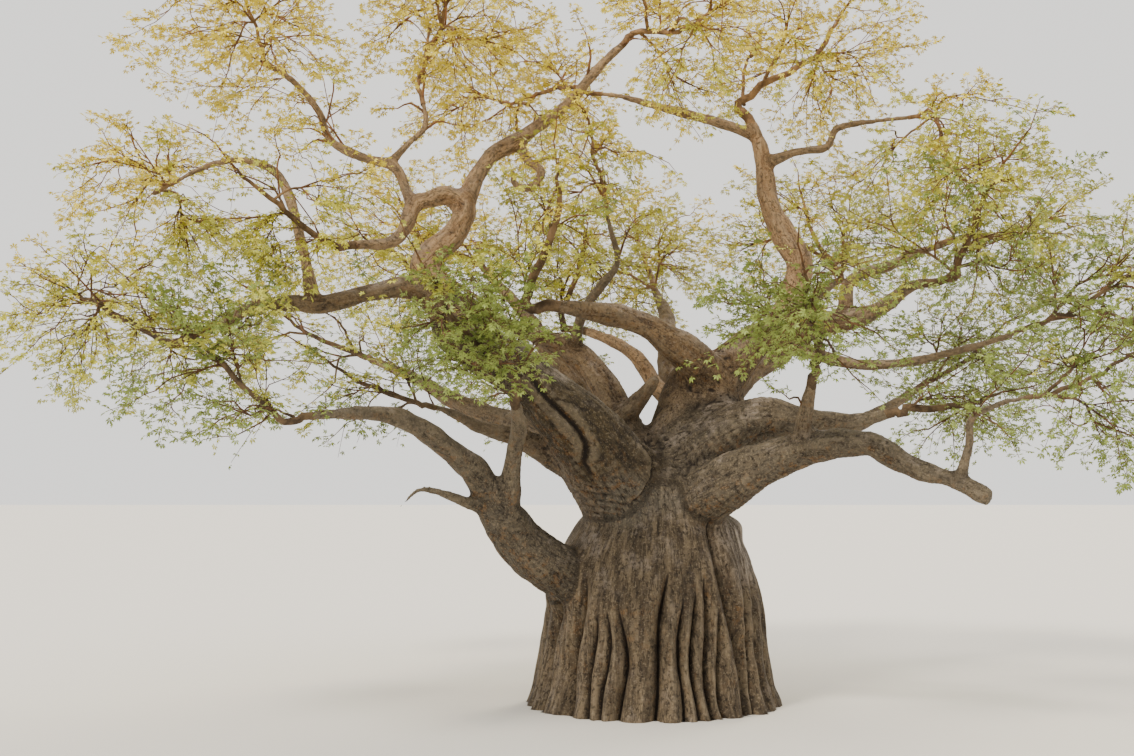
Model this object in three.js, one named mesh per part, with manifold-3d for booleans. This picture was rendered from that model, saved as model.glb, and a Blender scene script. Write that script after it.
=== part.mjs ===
// An old baobab: a squat bell of a trunk, heavy boughs that leave its neck, and a wide, light crown.
// The trunk, each bough and each mass of foliage is one closed solid.
// Lengths below are in metres, and MM turns them to millimetres in the finished meshes.
// The ground is z = 0. The trunk's foot is centred on the origin, and the side seen in front faces -Y.
import * as THREE from "three";
import Module from "manifold-3d";

const wasm = await Module();
wasm.setup();

const MM = 1000;
const CLEARANCE = 0.0003;     // gap left between one solid and the next
const FACET_ALLOWANCE = 1.4;  // a faceted tube grows by more at its corners than on its flats
const STUB_SIDES = 5;
const GOLDEN_TURN = Math.PI * (3 - Math.sqrt(5));

// Small sums with vectors [x, y, z]

const add = (a, b) => [a[0] + b[0], a[1] + b[1], a[2] + b[2]];
const subtract = (a, b) => [a[0] - b[0], a[1] - b[1], a[2] - b[2]];
const scale = (a, k) => [a[0] * k, a[1] * k, a[2] * k];
const dot = (a, b) => a[0] * b[0] + a[1] * b[1] + a[2] * b[2];
const cross = (a, b) => [a[1] * b[2] - a[2] * b[1], a[2] * b[0] - a[0] * b[2], a[0] * b[1] - a[1] * b[0]];
const size = (a) => Math.sqrt(dot(a, a));
const unit = (a) => scale(a, 1 / size(a));
const between = (a, b, t) => add(scale(a, 1 - t), scale(b, t));
const distance = (a, b) => size(subtract(a, b));

// A repeatable stream of numbers from 0 to 1, so the tree is the same each time it is built.
function seeded(seed) {
  let state = seed >>> 0;
  return () => {
    state = (Math.imul(state, 1664525) + 1013904223) >>> 0;
    return state / 4294967296;
  };
}

// Closed bodies from rings of points

// Rings are joined side by side. The ends are flat, or run to a point where one is given.
function closedBody(rings, rootPoint = null, tipPoint = null) {
  const sides = rings[0].length;
  const points = rings.flat();
  const faces = [];
  for (let r = 0; r + 1 < rings.length; r += 1) {
    for (let s = 0; s < sides; s += 1) {
      const here = r * sides + s;
      const next = r * sides + (s + 1) % sides;
      faces.push(here, next, next + sides, here, next + sides, here + sides);
    }
  }
  const last = (rings.length - 1) * sides;
  const closeEnd = (first, point, outward) => {
    if (point) points.push(point);
    for (let s = point ? 0 : 1; s < (point ? sides : sides - 1); s += 1) {
      const apex = point ? points.length - 1 : first;
      const a = first + s;
      const b = first + (s + 1) % sides;
      faces.push(apex, outward ? a : b, outward ? b : a);
    }
  };
  closeEnd(0, rootPoint, false);
  closeEnd(last, tipPoint, true);
  return solidOf(points, faces);
}

function solidOf(points, faces) {
  const mesh = new wasm.Mesh({
    numProp: 3,
    vertProperties: Float32Array.from(points.flat(), (value) => value * MM),
    triVerts: Uint32Array.from(faces),
  });
  return new wasm.Manifold(mesh);
}

// A smooth line through rows [x, y, z, girth], with `steps` pieces to each span.
function smoothRows(rows, steps) {
  const count = rows.length;
  const before = rows[0].map((value, k) => 2 * value - rows[1][k]);
  const after = rows[count - 1].map((value, k) => 2 * value - rows[count - 2][k]);
  const all = [before, ...rows, after];
  const out = [];
  for (let i = 1; i < count; i += 1) {
    for (let s = 0; s < steps; s += 1) {
      const t = s / steps;
      out.push(all[i].map((value, k) => {
        const a = all[i - 1][k];
        const c = all[i + 1][k];
        const d = all[i + 2][k];
        return 0.5 * (2 * value + (c - a) * t + (2 * a - 5 * value + 4 * c - d) * t * t
          + (3 * value - a - 3 * c + d) * t * t * t);
      }));
    }
  }
  out.push([...rows[count - 1]]);
  return out;
}

// Directions along a line of rows.
function headings(rows) {
  return rows.map((row, i) => unit(subtract(rows[Math.min(i + 1, rows.length - 1)], rows[Math.max(i - 1, 0)])));
}

// Rings of a tapering tube round a line of rows [x, y, z, girth]. `grow` is added all round.
function tubeRings(rows, sides, grow = 0) {
  const ahead = headings(rows);
  let across = Math.abs(ahead[0][2]) < 0.9 ? [0, 0, 1] : [1, 0, 0];
  return rows.map((row, i) => {
    across = unit(subtract(across, scale(ahead[i], dot(across, ahead[i]))));
    const up = cross(ahead[i], across);
    const radius = row[3] / 2 + grow * FACET_ALLOWANCE;
    let centre = row.slice(0, 3);
    if (i === 0) centre = subtract(centre, scale(ahead[i], grow));
    if (i === rows.length - 1) centre = add(centre, scale(ahead[i], grow));
    return Array.from({ length: sides }, (_, s) => {
      const turn = (2 * Math.PI * s) / sides;
      return add(centre, add(scale(across, radius * Math.cos(turn)), scale(up, radius * Math.sin(turn))));
    });
  });
}

const tube = (rows, sides, grow = 0) => closedBody(tubeRings(rows, sides, grow));

// The trunk: a bell with rope-like folds that run down from the neck and spread to the root flare

const TRUNK_SIDES = 30;
const TRUNK_FOLDS = 15;
const TRUNK_DEPTH_SHARE = 0.93;  // front to back, against side to side
// Height, half width, depth of the folds, and how far the middle leans to the right.
const TRUNK_RINGS = [
  [0.00, 2.95, 0.20, 0.00],
  [0.45, 2.80, 0.19, 0.00],
  [1.30, 2.64, 0.16, 0.02],
  [2.40, 2.52, 0.14, 0.03],
  [3.20, 2.40, 0.12, 0.04],
  [3.85, 2.22, 0.10, 0.06],
  [4.35, 1.98, 0.08, 0.10],
  [4.65, 1.70, 0.06, 0.12],
  [5.00, 1.56, 0.03, 0.08],
  [5.45, 1.46, 0.00, 0.05],
  [5.90, 1.22, 0.00, 0.02],
  [6.15, 0.80, 0.00, 0.00],
];

function trunkBody(grow = 0) {
  const rings = TRUNK_RINGS.map(([height, half, fold, lean], r) => {
    const top = r === TRUNK_RINGS.length - 1;
    return Array.from({ length: TRUNK_SIDES }, (_, s) => {
      const turn = (2 * Math.PI * s) / TRUNK_SIDES;
      const wander = 0.35 * Math.sin(3 * turn + 0.6) + 0.25 * Math.sin(5 * turn + 2.1);
      const ridge = Math.cos(TRUNK_FOLDS * turn + wander);
      const radius = half + fold * (0.6 * ridge + 0.5 * wander) + grow * FACET_ALLOWANCE;
      return [
        lean + radius * Math.cos(turn),
        radius * TRUNK_DEPTH_SHARE * Math.sin(turn),
        height + (top ? grow : 0),
      ];
    });
  });
  return closedBody(rings);
}

// The boughs: each is one tapering limb along a few places [x, y, z, girth].
// `from` is the limb that it grows out of. `butt` starts it at that limb's flat tip.
// `stub` is a dead, broken side limb that stays on it.

const LIMBS = {
  great_left_bough: { from: "trunk", sides: 10, rows: [
    [-0.4, -0.35, 4.9, 1.7], [-1.15, -1.0, 5.75, 1.85], [-1.9, -1.5, 6.7, 1.65],
    [-2.7, -1.85, 7.5, 1.36], [-3.6, -2.1, 8.2, 1.17], [-4.6, -2.2, 8.8, 0.98], [-5.0, -2.2, 9.6, 0.79]] },
  right_crown_column: { from: "trunk", sides: 10, rows: [
    [0.75, 0.3, 5.2, 2.2], [1.1, 0.4, 6.4, 2.15], [1.35, 0.5, 7.4, 1.9], [1.6, 0.6, 8.2, 1.4], [1.7, 0.65, 8.5, 0.8]] },
  low_left_limb: { from: "trunk", sides: 8, rows: [
    [-1.8, -0.7, 2.8, 1.3], [-2.95, -1.5, 3.8, 1.19], [-3.45, -2.0, 4.4, 1.0], [-4.1, -2.6, 5.5, 0.65],
    [-4.6, -3.1, 6.0, 0.55], [-5.2, -3.8, 6.5, 0.48], [-5.9, -4.5, 6.8, 0.39], [-6.6, -5.2, 6.8, 0.29],
    [-7.4, -6.0, 6.7, 0.18]],
  stub: [[-3.6, -2.1, 4.5, 0.32], [-4.35, -2.6, 4.9, 0.27], [-5.3, -3.1, 5.2, 0.15], [-5.8, -3.4, 4.8, 0.07]] },
  low_left_upright: { from: "low_left_limb", sides: 6, rows: [
    [-3.45, -2.1, 4.5, 0.54], [-3.35, -2.5, 5.4, 0.46], [-3.25, -2.8, 6.1, 0.40], [-3.15, -3.2, 6.6, 0.36],
    [-3.2, -3.8, 7.1, 0.26]] },
  lowest_right_limb: { from: "trunk", sides: 8, rows: [
    [0.8, -0.7, 4.75, 1.2], [1.75, -1.8, 5.4, 1.12], [2.5, -2.4, 5.8, 0.96], [3.2, -2.8, 6.1, 0.86],
    [3.8, -3.2, 6.2, 0.72], [4.6, -3.7, 6.2, 0.60], [5.1, -4.0, 5.9, 0.52], [5.6, -4.3, 5.6, 0.45],
    [6.2, -4.6, 5.4, 0.39], [6.7, -5.0, 5.1, 0.46], [6.85, -5.1, 5.05, 0.30]] },
  upper_low_right_limb: { from: "right_crown_column", sides: 8, rows: [
    [1.1, -0.3, 6.0, 1.5], [1.9, -0.6, 6.6, 1.26], [2.8, -0.8, 6.9, 0.97], [3.5, -1.0, 6.85, 0.72],
    [4.7, -1.2, 6.8, 0.43], [5.6, -1.3, 7.0, 0.26]] },
  left_middle_limb: { from: "great_left_bough", sides: 6, rows: [
    [-1.2, -0.9, 5.3, 0.8], [-2.1, -0.9, 5.8, 0.64], [-2.9, -0.9, 6.3, 0.53], [-3.5, -1.0, 6.5, 0.43],
    [-4.2, -1.3, 6.7, 0.31], [-4.8, -1.9, 7.0, 0.21], [-5.2, -2.5, 7.1, 0.16]] },
  second_left_bough: { from: "trunk", sides: 8, rows: [
    [-0.3, 0.2, 5.6, 1.2], [-0.8, 0.55, 7.0, 0.95], [-1.1, 0.7, 7.7, 0.83], [-1.5, 0.85, 8.3, 0.71],
    [-2.1, 1.0, 8.8, 0.61], [-3.0, 1.3, 9.2, 0.44]],
  stub: [[-0.9, 0.4, 6.7, 0.60], [-0.2, -0.3, 7.5, 0.40], [0.1, -0.8, 7.9, 0.25]] },
  left_lower_limb: { from: "great_left_bough", sides: 6, rows: [
    [-4.7, -2.3, 9.1, 0.7], [-5.5, -2.6, 9.8, 0.55], [-6.4, -3.0, 9.7, 0.46], [-7.6, -3.6, 9.3, 0.40],
    [-8.1, -3.9, 9.3, 0.38], [-8.9, -4.3, 9.2, 0.28], [-9.4, -4.6, 8.8, 0.26], [-10.0, -5.0, 8.5, 0.19]] },
  elbow_bough: { from: "great_left_bough", butt: true, sides: 7, rows: [
    [-5.0, -2.2, 9.6, 0.77], [-5.0, -2.0, 10.5, 0.71], [-4.8, -1.8, 11.2, 0.62], [-4.5, -1.6, 11.9, 0.56],
    [-4.9, -1.6, 12.2, 0.48], [-5.3, -1.7, 12.1, 0.43], [-5.7, -1.8, 11.9, 0.40], [-5.9, -2.0, 11.3, 0.35],
    [-6.2, -2.5, 10.9, 0.30], [-6.9, -3.4, 10.7, 0.21]] },
  top_centre_bough: { from: "elbow_bough", sides: 6, rows: [
    [-4.6, -1.6, 11.8, 0.48], [-4.3, -1.3, 12.6, 0.43], [-3.9, -1.0, 13.3, 0.41], [-3.2, -0.8, 13.8, 0.37],
    [-2.1, -0.5, 14.7, 0.30], [-1.2, -0.3, 15.8, 0.25], [-0.7, -0.2, 16.3, 0.20]],
  stub: [[-3.2, -0.8, 13.9, 0.24], [-3.1, -0.9, 13.3, 0.24], [-2.7, -1.1, 12.9, 0.24], [-2.9, -1.2, 12.5, 0.23],
    [-3.3, -1.3, 12.5, 0.20], [-3.4, -1.4, 12.9, 0.14]] },
  upper_left_arm: { from: "elbow_bough", sides: 6, rows: [
    [-5.7, -1.8, 11.8, 0.31], [-5.9, -1.7, 12.3, 0.29], [-6.2, -1.6, 12.9, 0.28], [-6.9, -1.6, 13.1, 0.26],
    [-7.7, -1.7, 13.5, 0.23], [-8.0, -1.8, 14.2, 0.19], [-8.5, -2.0, 14.8, 0.17], [-9.1, -2.2, 15.2, 0.14]] },
  upper_left_riser: { from: "upper_left_arm", sides: 6, rows: [
    [-6.3, -1.55, 13.0, 0.22], [-5.9, -1.4, 13.5, 0.19], [-5.5, -1.2, 14.0, 0.17], [-5.6, -1.0, 14.7, 0.14]] },
  left_bent_arm: { from: "left_lower_limb", sides: 6, rows: [
    [-7.7, -3.6, 9.3, 0.33], [-8.1, -3.2, 10.8, 0.27], [-8.4, -3.0, 11.8, 0.25], [-8.8, -2.9, 12.5, 0.22],
    [-9.5, -3.1, 12.7, 0.20], [-10.2, -3.4, 12.5, 0.17], [-10.9, -3.8, 12.0, 0.13]] },
  twisted_riser: { from: "second_left_bough", sides: 6, rows: [
    [-1.9, 0.9, 8.7, 0.36], [-1.7, 0.4, 9.6, 0.28], [-1.2, 0.2, 10.3, 0.23], [-0.8, 0.2, 10.9, 0.20],
    [-1.0, 0.2, 11.8, 0.17], [-1.1, 0.2, 12.4, 0.13]] },
  pale_back_limb: { from: "right_crown_column", sides: 6, rows: [
    [0.9, 1.0, 7.2, 0.56], [0.3, 1.6, 7.8, 0.46], [-0.2, 2.0, 8.6, 0.39], [-0.8, 2.5, 9.1, 0.33],
    [-1.6, 3.2, 9.5, 0.24]] },
  crossing_limb: { from: "right_crown_column", sides: 7, rows: [
    [1.7, 0.3, 7.9, 1.1], [1.0, -0.4, 8.4, 0.94], [0.5, -0.7, 8.75, 0.78], [-0.3, -1.0, 9.2, 0.63],
    [-1.3, -1.5, 9.4, 0.48], [-2.4, -2.0, 9.5, 0.32]] },
  upper_right_limb: { from: "right_crown_column", sides: 7, rows: [
    [1.7, 0.5, 7.9, 1.2], [2.7, 0.2, 8.9, 0.90], [3.9, -0.4, 9.2, 0.69], [4.8, -1.0, 9.3, 0.53],
    [5.4, -1.5, 9.5, 0.40], [5.9, -2.0, 9.9, 0.31], [6.3, -2.4, 10.0, 0.23]] },
  s_bough: { from: "upper_right_limb", sides: 7, rows: [
    [3.2, 0.1, 8.9, 0.75], [3.4, 0.3, 9.5, 0.70], [3.75, 0.8, 10.4, 0.70], [3.85, 1.0, 11.0, 0.72],
    [3.5, 1.2, 11.8, 0.66], [3.2, 1.4, 12.6, 0.56], [3.1, 1.6, 13.5, 0.47], [3.0, 1.8, 14.3, 0.40],
    [2.8, 1.9, 14.9, 0.30]] },
  s_left_arm: { from: "s_bough", sides: 6, rows: [
    [3.0, 1.85, 14.5, 0.35], [2.2, 1.9, 14.8, 0.30], [1.1, 1.8, 15.1, 0.27], [0.2, 1.7, 15.3, 0.23],
    [-0.6, 1.6, 15.5, 0.18], [-1.3, 1.6, 15.6, 0.14]] },
  s_step_arm: { from: "s_bough", sides: 6, rows: [
    [3.1, 1.6, 13.7, 0.31], [3.9, 1.5, 14.0, 0.25], [4.7, 1.4, 14.1, 0.22], [5.0, 1.35, 14.6, 0.20],
    [6.0, 1.2, 14.75, 0.16], [6.9, 1.0, 14.8, 0.13]] },
  right_upper_limb: { from: "upper_right_limb", sides: 6, rows: [
    [4.7, -0.9, 9.2, 0.41], [4.75, -0.7, 10.1, 0.34], [5.1, -0.6, 10.45, 0.31], [5.9, -0.4, 10.7, 0.27],
    [6.5, -0.3, 11.0, 0.24], [7.3, 0.0, 11.3, 0.20]] },
  right_mid_limb: { from: "upper_right_limb", sides: 6, rows: [
    [3.3, 0.0, 8.8, 0.42], [4.7, -0.9, 8.25, 0.30], [5.9, -1.4, 8.2, 0.25], [6.9, -1.9, 8.4, 0.21],
    [7.7, -2.3, 8.6, 0.18], [8.5, -2.7, 8.9, 0.14]] },
  low_right_upright: { from: "lowest_right_limb", sides: 6, rows: [
    [3.3, -2.9, 6.2, 0.50], [3.3, -3.1, 6.9, 0.38], [3.4, -3.5, 7.6, 0.26]] },
  right_hook_limb: { from: "lowest_right_limb", sides: 6, rows: [
    [6.3, -4.7, 5.4, 0.26], [6.5, -4.8, 6.2, 0.20], [6.5, -5.0, 6.7, 0.18], [7.0, -5.5, 7.0, 0.15],
    [7.5, -5.9, 7.1, 0.13]] },
  back_left_low_bough: { from: "trunk", sides: 7, rows: [
    [-0.9, 0.7, 4.9, 1.25], [-2.0, 1.7, 6.0, 0.95], [-3.3, 2.9, 6.9, 0.72], [-4.9, 4.1, 7.5, 0.52],
    [-6.3, 5.0, 8.3, 0.36], [-7.6, 5.7, 8.9, 0.22]] },
  back_left_high_bough: { from: "second_left_bough", sides: 7, rows: [
    [-0.7, 0.6, 6.7, 0.95], [-1.3, 1.9, 7.6, 0.74], [-2.4, 3.6, 8.8, 0.56], [-3.3, 4.9, 10.2, 0.40],
    [-4.3, 6.3, 11.4, 0.26]] },
  back_middle_bough: { from: "right_crown_column", sides: 7, rows: [
    [1.0, 0.9, 6.3, 1.05], [0.9, 2.2, 7.3, 0.80], [0.7, 3.8, 8.7, 0.62], [0.8, 5.2, 10.0, 0.44],
    [0.6, 6.9, 11.0, 0.26]] },
  back_right_high_bough: { from: "right_crown_column", sides: 7, rows: [
    [1.7, 1.0, 7.2, 0.95], [2.6, 2.4, 8.2, 0.72], [3.9, 3.6, 9.0, 0.55], [4.7, 4.7, 10.3, 0.38],
    [5.7, 5.9, 11.2, 0.24]] },
  back_right_low_bough: { from: "trunk", sides: 7, rows: [
    [0.9, 0.7, 4.7, 1.3], [2.3, 1.8, 5.7, 0.98], [3.8, 3.0, 6.3, 0.74], [5.3, 4.0, 6.7, 0.54],
    [6.8, 4.8, 7.4, 0.37], [8.0, 5.4, 8.1, 0.22]] },
  back_low_bough: { from: "trunk", sides: 7, rows: [
    [-0.1, 0.9, 4.3, 1.3], [-0.4, 2.6, 5.6, 0.92], [-0.9, 4.3, 6.3, 0.68], [-1.4, 6.0, 6.8, 0.48],
    [-2.2, 7.6, 7.5, 0.28]] },
};

// The foliage masses: each keeps to a space round `centre` and grows from the tip of one bough.
// `reach` is the half width of the space, and its half height is FLATNESS times that.

const FLATNESS = 0.78;
const MASSES = {
  foliage_low_left: { from: "low_left_limb", centre: [-9.2, -6.6, 7.9], reach: 2.9 },
  foliage_front_left: { from: "low_left_upright", centre: [-4.4, -6.0, 8.7], reach: 2.7 },
  foliage_left_middle: { from: "left_middle_limb", centre: [-6.7, -2.9, 7.6], reach: 2.3 },
  foliage_far_left_low: { from: "left_lower_limb", centre: [-11.7, -4.6, 8.9], reach: 3.2 },
  foliage_left_front: { from: "elbow_bough", centre: [-8.3, -4.9, 11.3], reach: 3.0 },
  foliage_top_centre: { from: "top_centre_bough", centre: [0.6, -1.6, 16.2], reach: 3.5 },
  foliage_top_left: { from: "upper_left_arm", centre: [-9.2, -2.7, 15.5], reach: 3.7 },
  foliage_top_left_inner: { from: "upper_left_riser", centre: [-5.0, -1.8, 16.6], reach: 3.6 },
  foliage_far_left: { from: "left_bent_arm", centre: [-11.3, -2.5, 12.3], reach: 3.2 },
  foliage_left_inner: { from: "second_left_bough", centre: [-5.9, 3.2, 10.9], reach: 3.2 },
  foliage_centre: { from: "twisted_riser", centre: [-1.4, -1.2, 13.2], reach: 2.7 },
  foliage_centre_back: { from: "pale_back_limb", centre: [-1.6, 5.0, 11.9], reach: 3.0 },
  foliage_front_centre: { from: "crossing_limb", centre: [-2.3, -3.4, 11.3], reach: 2.4 },
  foliage_right_front: { from: "upper_right_limb", centre: [6.9, -4.4, 11.2], reach: 3.2 },
  foliage_top_right: { from: "s_bough", centre: [4.4, 1.6, 16.6], reach: 3.5 },
  foliage_top_back: { from: "s_left_arm", centre: [-3.6, 4.2, 16.0], reach: 3.6 },
  foliage_high_right: { from: "s_step_arm", centre: [7.7, 0.5, 13.4], reach: 3.3 },
  foliage_right_low: { from: "upper_low_right_limb", centre: [7.5, -1.2, 7.2], reach: 2.3 },
  foliage_right_low_front: { from: "right_hook_limb", centre: [8.7, -6.2, 7.5], reach: 3.1 },
  foliage_front_right: { from: "low_right_upright", centre: [2.9, -5.9, 8.8], reach: 2.8 },
  foliage_far_right: { from: "right_mid_limb", centre: [10.4, -3.0, 9.8], reach: 3.2 },
  foliage_right_upper: { from: "right_upper_limb", centre: [9.7, 1.6, 11.8], reach: 3.1 },
  foliage_back_left_low: { from: "back_left_low_bough", centre: [-9.7, 6.4, 9.8], reach: 3.4 },
  foliage_back_left_high: { from: "back_left_high_bough", centre: [-6.6, 8.0, 13.0], reach: 3.6 },
  foliage_back_middle: { from: "back_middle_bough", centre: [0.3, 9.2, 12.6], reach: 3.6 },
  foliage_back_right_high: { from: "back_right_high_bough", centre: [5.3, 6.6, 12.6], reach: 3.8 },
  foliage_back_right_low: { from: "back_right_low_bough", centre: [9.9, 6.2, 9.2], reach: 3.4 },
  foliage_back_low: { from: "back_low_bough", centre: [-3.2, 9.8, 8.6], reach: 3.2 },
};

// How every mass grows

const STEM_SIDES = 3;
const TWIG_SIDES = 3;
const TWIGS_PER_REACH = 1.75;    // twigs for each metre of a mass's reach
const STEM_GIRTH_SHARE = 0.92;   // of the tip that it carries on from
const STEM_END_GIRTH = 0.06;
const STEM_PLACES = 10;          // where twigs may leave it
const TWIG_END_GIRTH = 0.05;
const TWIG_GIRTH_PER_LENGTH = 0.03;
const SHORTEST_TWIG = 0.45;
const LEAF_LENGTH = 1.9;         // each leaf stands for a spray of small ones
const LEAF_WIDTH_SHARE = 0.58;
const LEAF_THICKNESS = 0.07;
const SIDE_LEAF_SHARE = 0.85;    // of an end leaf's length
const LEAF_SINK = 0.05;          // how far a side leaf's root is sunk past its twig's line
const KEEP_OFF = 0.03;           // from limbs and from the next space

function spaceOf(mass, point) {
  const away = subtract(point, mass.centre);
  const tall = away[2] / FLATNESS;
  return (away[0] * away[0] + away[1] * away[1] + tall * tall) / (mass.reach * mass.reach);
}

// Whether a point is inside a mass's own space: within its reach and on its side of every neighbour.
function inSpace(name, point, share = 1) {
  const mass = MASSES[name];
  if (spaceOf(mass, point) > share * share || point[2] < 0.5) return false;
  const own = distance(point, mass.centre) ** 2 - mass.reach ** 2;
  return Object.entries(MASSES).every(([other, its]) => {
    if (other === name) return true;
    const margin = 2 * KEEP_OFF * distance(mass.centre, its.centre);
    return own + margin < distance(point, its.centre) ** 2 - its.reach ** 2;
  });
}

// The shortest way between two straight pieces a-b and c-d.
function gapBetween(a, b, c, d) {
  const u = subtract(b, a);
  const v = subtract(d, c);
  const w = subtract(a, c);
  const uu = dot(u, u);
  const uv = dot(u, v);
  const vv = dot(v, v);
  const uw = dot(u, w);
  const vw = dot(v, w);
  const whole = uu * vv - uv * uv;
  const clamp = (value) => Math.min(1, Math.max(0, value));
  let s = whole > 1e-9 ? clamp((uv * vw - vv * uw) / whole) : 0;
  const t = clamp((uv * s + vw) / vv);
  s = clamp((uv * t - uw) / uu);
  return distance(add(a, scale(u, s)), add(c, scale(v, t)));
}

// Every straight piece of limb or stem that other things keep off: [owner, start, end, radius].
const obstacles = [];

function addObstacles(owner, rows) {
  for (let i = 0; i + 1 < rows.length; i += 1) {
    const radius = Math.max(rows[i][3], rows[i + 1][3]) / 2;
    obstacles.push([owner, rows[i].slice(0, 3), rows[i + 1].slice(0, 3), radius]);
  }
}

function isClear(owner, a, b, radius) {
  return obstacles.every(([name, c, d, r]) => name === owner || gapBetween(a, b, c, d) > r + radius + KEEP_OFF);
}

// The stem carries on from the bough's tip, bends to the middle of the space and runs on through it.
function stemRows(mass) {
  const tip = limbRows[mass.from];
  const end = tip[tip.length - 1];
  const ahead = headings(tip)[tip.length - 1];
  const start = add(end, scale(ahead, CLEARANCE));
  const far = distance(start, mass.centre);
  const onward = unit(subtract(mass.centre, start));
  const finish = add(mass.centre, add(scale(onward, 0.36 * mass.reach), [0, 0, 0.1 * mass.reach]));
  const bend = add(start, scale(ahead, 0.3 * far));
  const girth = end[3] * STEM_GIRTH_SHARE;
  return [
    [...start, girth],
    [...bend, girth * 0.75 + STEM_END_GIRTH * 0.25],
    [...mass.centre, girth * 0.4 + STEM_END_GIRTH * 0.6],
    [...finish, STEM_END_GIRTH],
  ];
}

// Places along a stem: [x, y, z, girth] and the heading there.
function stemPlaces(stem) {
  return Array.from({ length: STEM_PLACES }, (_, i) => {
    const along = 0.45 + ((stem.length - 1.5) * i) / (STEM_PLACES - 1);
    const span = Math.min(Math.floor(along), stem.length - 2);
    const row = stem[span].map((value, k) => value + (stem[span + 1][k] - value) * (along - span));
    return { row, ahead: unit(subtract(stem[span + 1], stem[span])) };
  });
}

// The three corners of a leaf where it is widest: its ridge and its two edges.
function leafRing(widest, heading, roll, length) {
  const lift = unit(subtract([0, 0, 1], scale(heading, heading[2])));
  const side = cross(heading, lift);
  const ridge = add(scale(lift, Math.cos(roll)), scale(side, Math.sin(roll)));
  const edge = cross(heading, ridge);
  const half = (length * LEAF_WIDTH_SHARE) / 2;
  return [
    add(widest, scale(ridge, LEAF_THICKNESS)),
    add(widest, scale(edge, half)),
    add(widest, scale(edge, -half)),
  ];
}

function turned(way, angle) {
  const c = Math.cos(angle);
  const s = Math.sin(angle);
  return [way[0] * c - way[1] * s, way[0] * s + way[1] * c, way[2]];
}

// Twigs reach for places spread evenly through the space, each from the handiest part of the stem.
// Each runs out into a leaf and carries another on one side.
function growMass(name) {
  const mass = MASSES[name];
  const draw = seeded(mass.seed);
  const places = stemPlaces(mass.stem);
  const count = Math.round(TWIGS_PER_REACH * mass.reach);
  const firstTurn = draw() * 2 * Math.PI;
  mass.leaves = 0;

  // The stem itself runs out into a leaf.
  const last = mass.stem[mass.stem.length - 1].slice(0, 3);
  const onward = places[places.length - 1].ahead;
  const lastRing = leafRing(add(last, scale(onward, 0.4 * LEAF_LENGTH)), onward, 0, LEAF_LENGTH);
  const stemRings = tubeRings(mass.stem, STEM_SIDES);
  const parts = [closedBody([...stemRings, lastRing], null, add(last, scale(onward, LEAF_LENGTH)))];
  mass.leaves += 1;

  const fits = (root, ring, tip, length) => [...ring, tip].every((point) => inSpace(name, point, 1.08))
    && isClear(name, root, tip, (length * LEAF_WIDTH_SHARE) / 2);

  for (let k = 0; k < count; k += 1) {
    const height = 1 - (2 * k + 1) / count;
    const turn = firstTurn + k * GOLDEN_TURN;
    const flat = Math.sqrt(1 - height * height);
    const out = mass.reach * (0.88 + 0.1 * draw());
    const aim = [out * flat * Math.cos(turn), out * flat * Math.sin(turn), out * height * FLATNESS];
    const bow = [0.2 * (draw() - 0.5), 0.2 * (draw() - 0.5), 0.08 + 0.1 * draw()];
    const droop = 0.3 * (draw() - 0.6);
    const roll = 1.9 * (draw() - 0.5);
    const swing = (draw() < 0.5 ? -1 : 1) * (0.9 + 0.4 * draw());
    for (const share of [1, 0.84, 0.68, 0.52]) {
      const tip = add(mass.centre, scale(aim, share));
      const reaches = places
        .map((place) => ({ ...place, way: subtract(tip, place.row) }))
        .filter(({ way }) => size(way) > LEAF_LENGTH + SHORTEST_TWIG)
        .sort((a, b) => cost(a) - cost(b));
      if (reaches.length === 0) continue;
      const { row, ahead, way } = reaches[0];
      const heading = unit(add(scale(way, 1 / size(way)), [0, 0, droop]));
      const root = subtract(tip, scale(heading, LEAF_LENGTH));
      const length = distance(row.slice(0, 3), root);
      const start = row.slice(0, 3);
      const middle = add(between(start, root, 0.5), scale(add(bow, scale(ahead, 0.1)), length));
      const ring = leafRing(add(root, scale(heading, 0.45 * LEAF_LENGTH)), heading, roll, LEAF_LENGTH);
      const clear = isClear(name, start, middle, 0.05) && isClear(name, middle, root, 0.05);
      if (!clear || !inSpace(name, root) || !inSpace(name, middle) || !fits(root, ring, tip, LEAF_LENGTH)) continue;
      const girth = Math.min(row[3] * 0.8, TWIG_END_GIRTH + TWIG_GIRTH_PER_LENGTH * length);
      const rows = [[...start, girth], [...middle, girth * 0.75], [...root, TWIG_END_GIRTH]];
      parts.push(closedBody([...tubeRings(rows, TWIG_SIDES), ring], null, tip));
      mass.leaves += 1;

      const sideLength = LEAF_LENGTH * SIDE_LEAF_SHARE;
      for (const angle of [swing, -swing]) {
        const sideWay = turned(unit([heading[0], heading[1], 0.5 * heading[2]]), angle);
        const at = between(middle, root, 0.55);
        const sideRoot = subtract(at, scale(sideWay, LEAF_SINK));
        const sideTip = add(sideRoot, scale(sideWay, sideLength));
        const widest = add(sideRoot, scale(sideWay, 0.45 * sideLength));
        const sideRing = leafRing(widest, sideWay, -roll, sideLength);
        if (!fits(sideRoot, sideRing, sideTip, sideLength)) continue;
        parts.push(closedBody([sideRing], sideRoot, sideTip));
        mass.leaves += 1;
        break;
      }
      break;
    }
  }
  return largestPiece(wasm.Manifold.union(parts));
}

// How far a tip is from a place on the stem, and more where the twig would have to turn back.
function cost({ ahead, way }) {
  return size(way) * (1.7 - dot(way, ahead) / size(way));
}

// One piece only: loose scraps and sealed hollows are left out.
function largestPiece(solid) {
  const pieces = solid.decompose();
  return pieces.reduce((best, piece) => (piece.volume() > best.volume() ? piece : best));
}

// Putting the tree together

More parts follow.
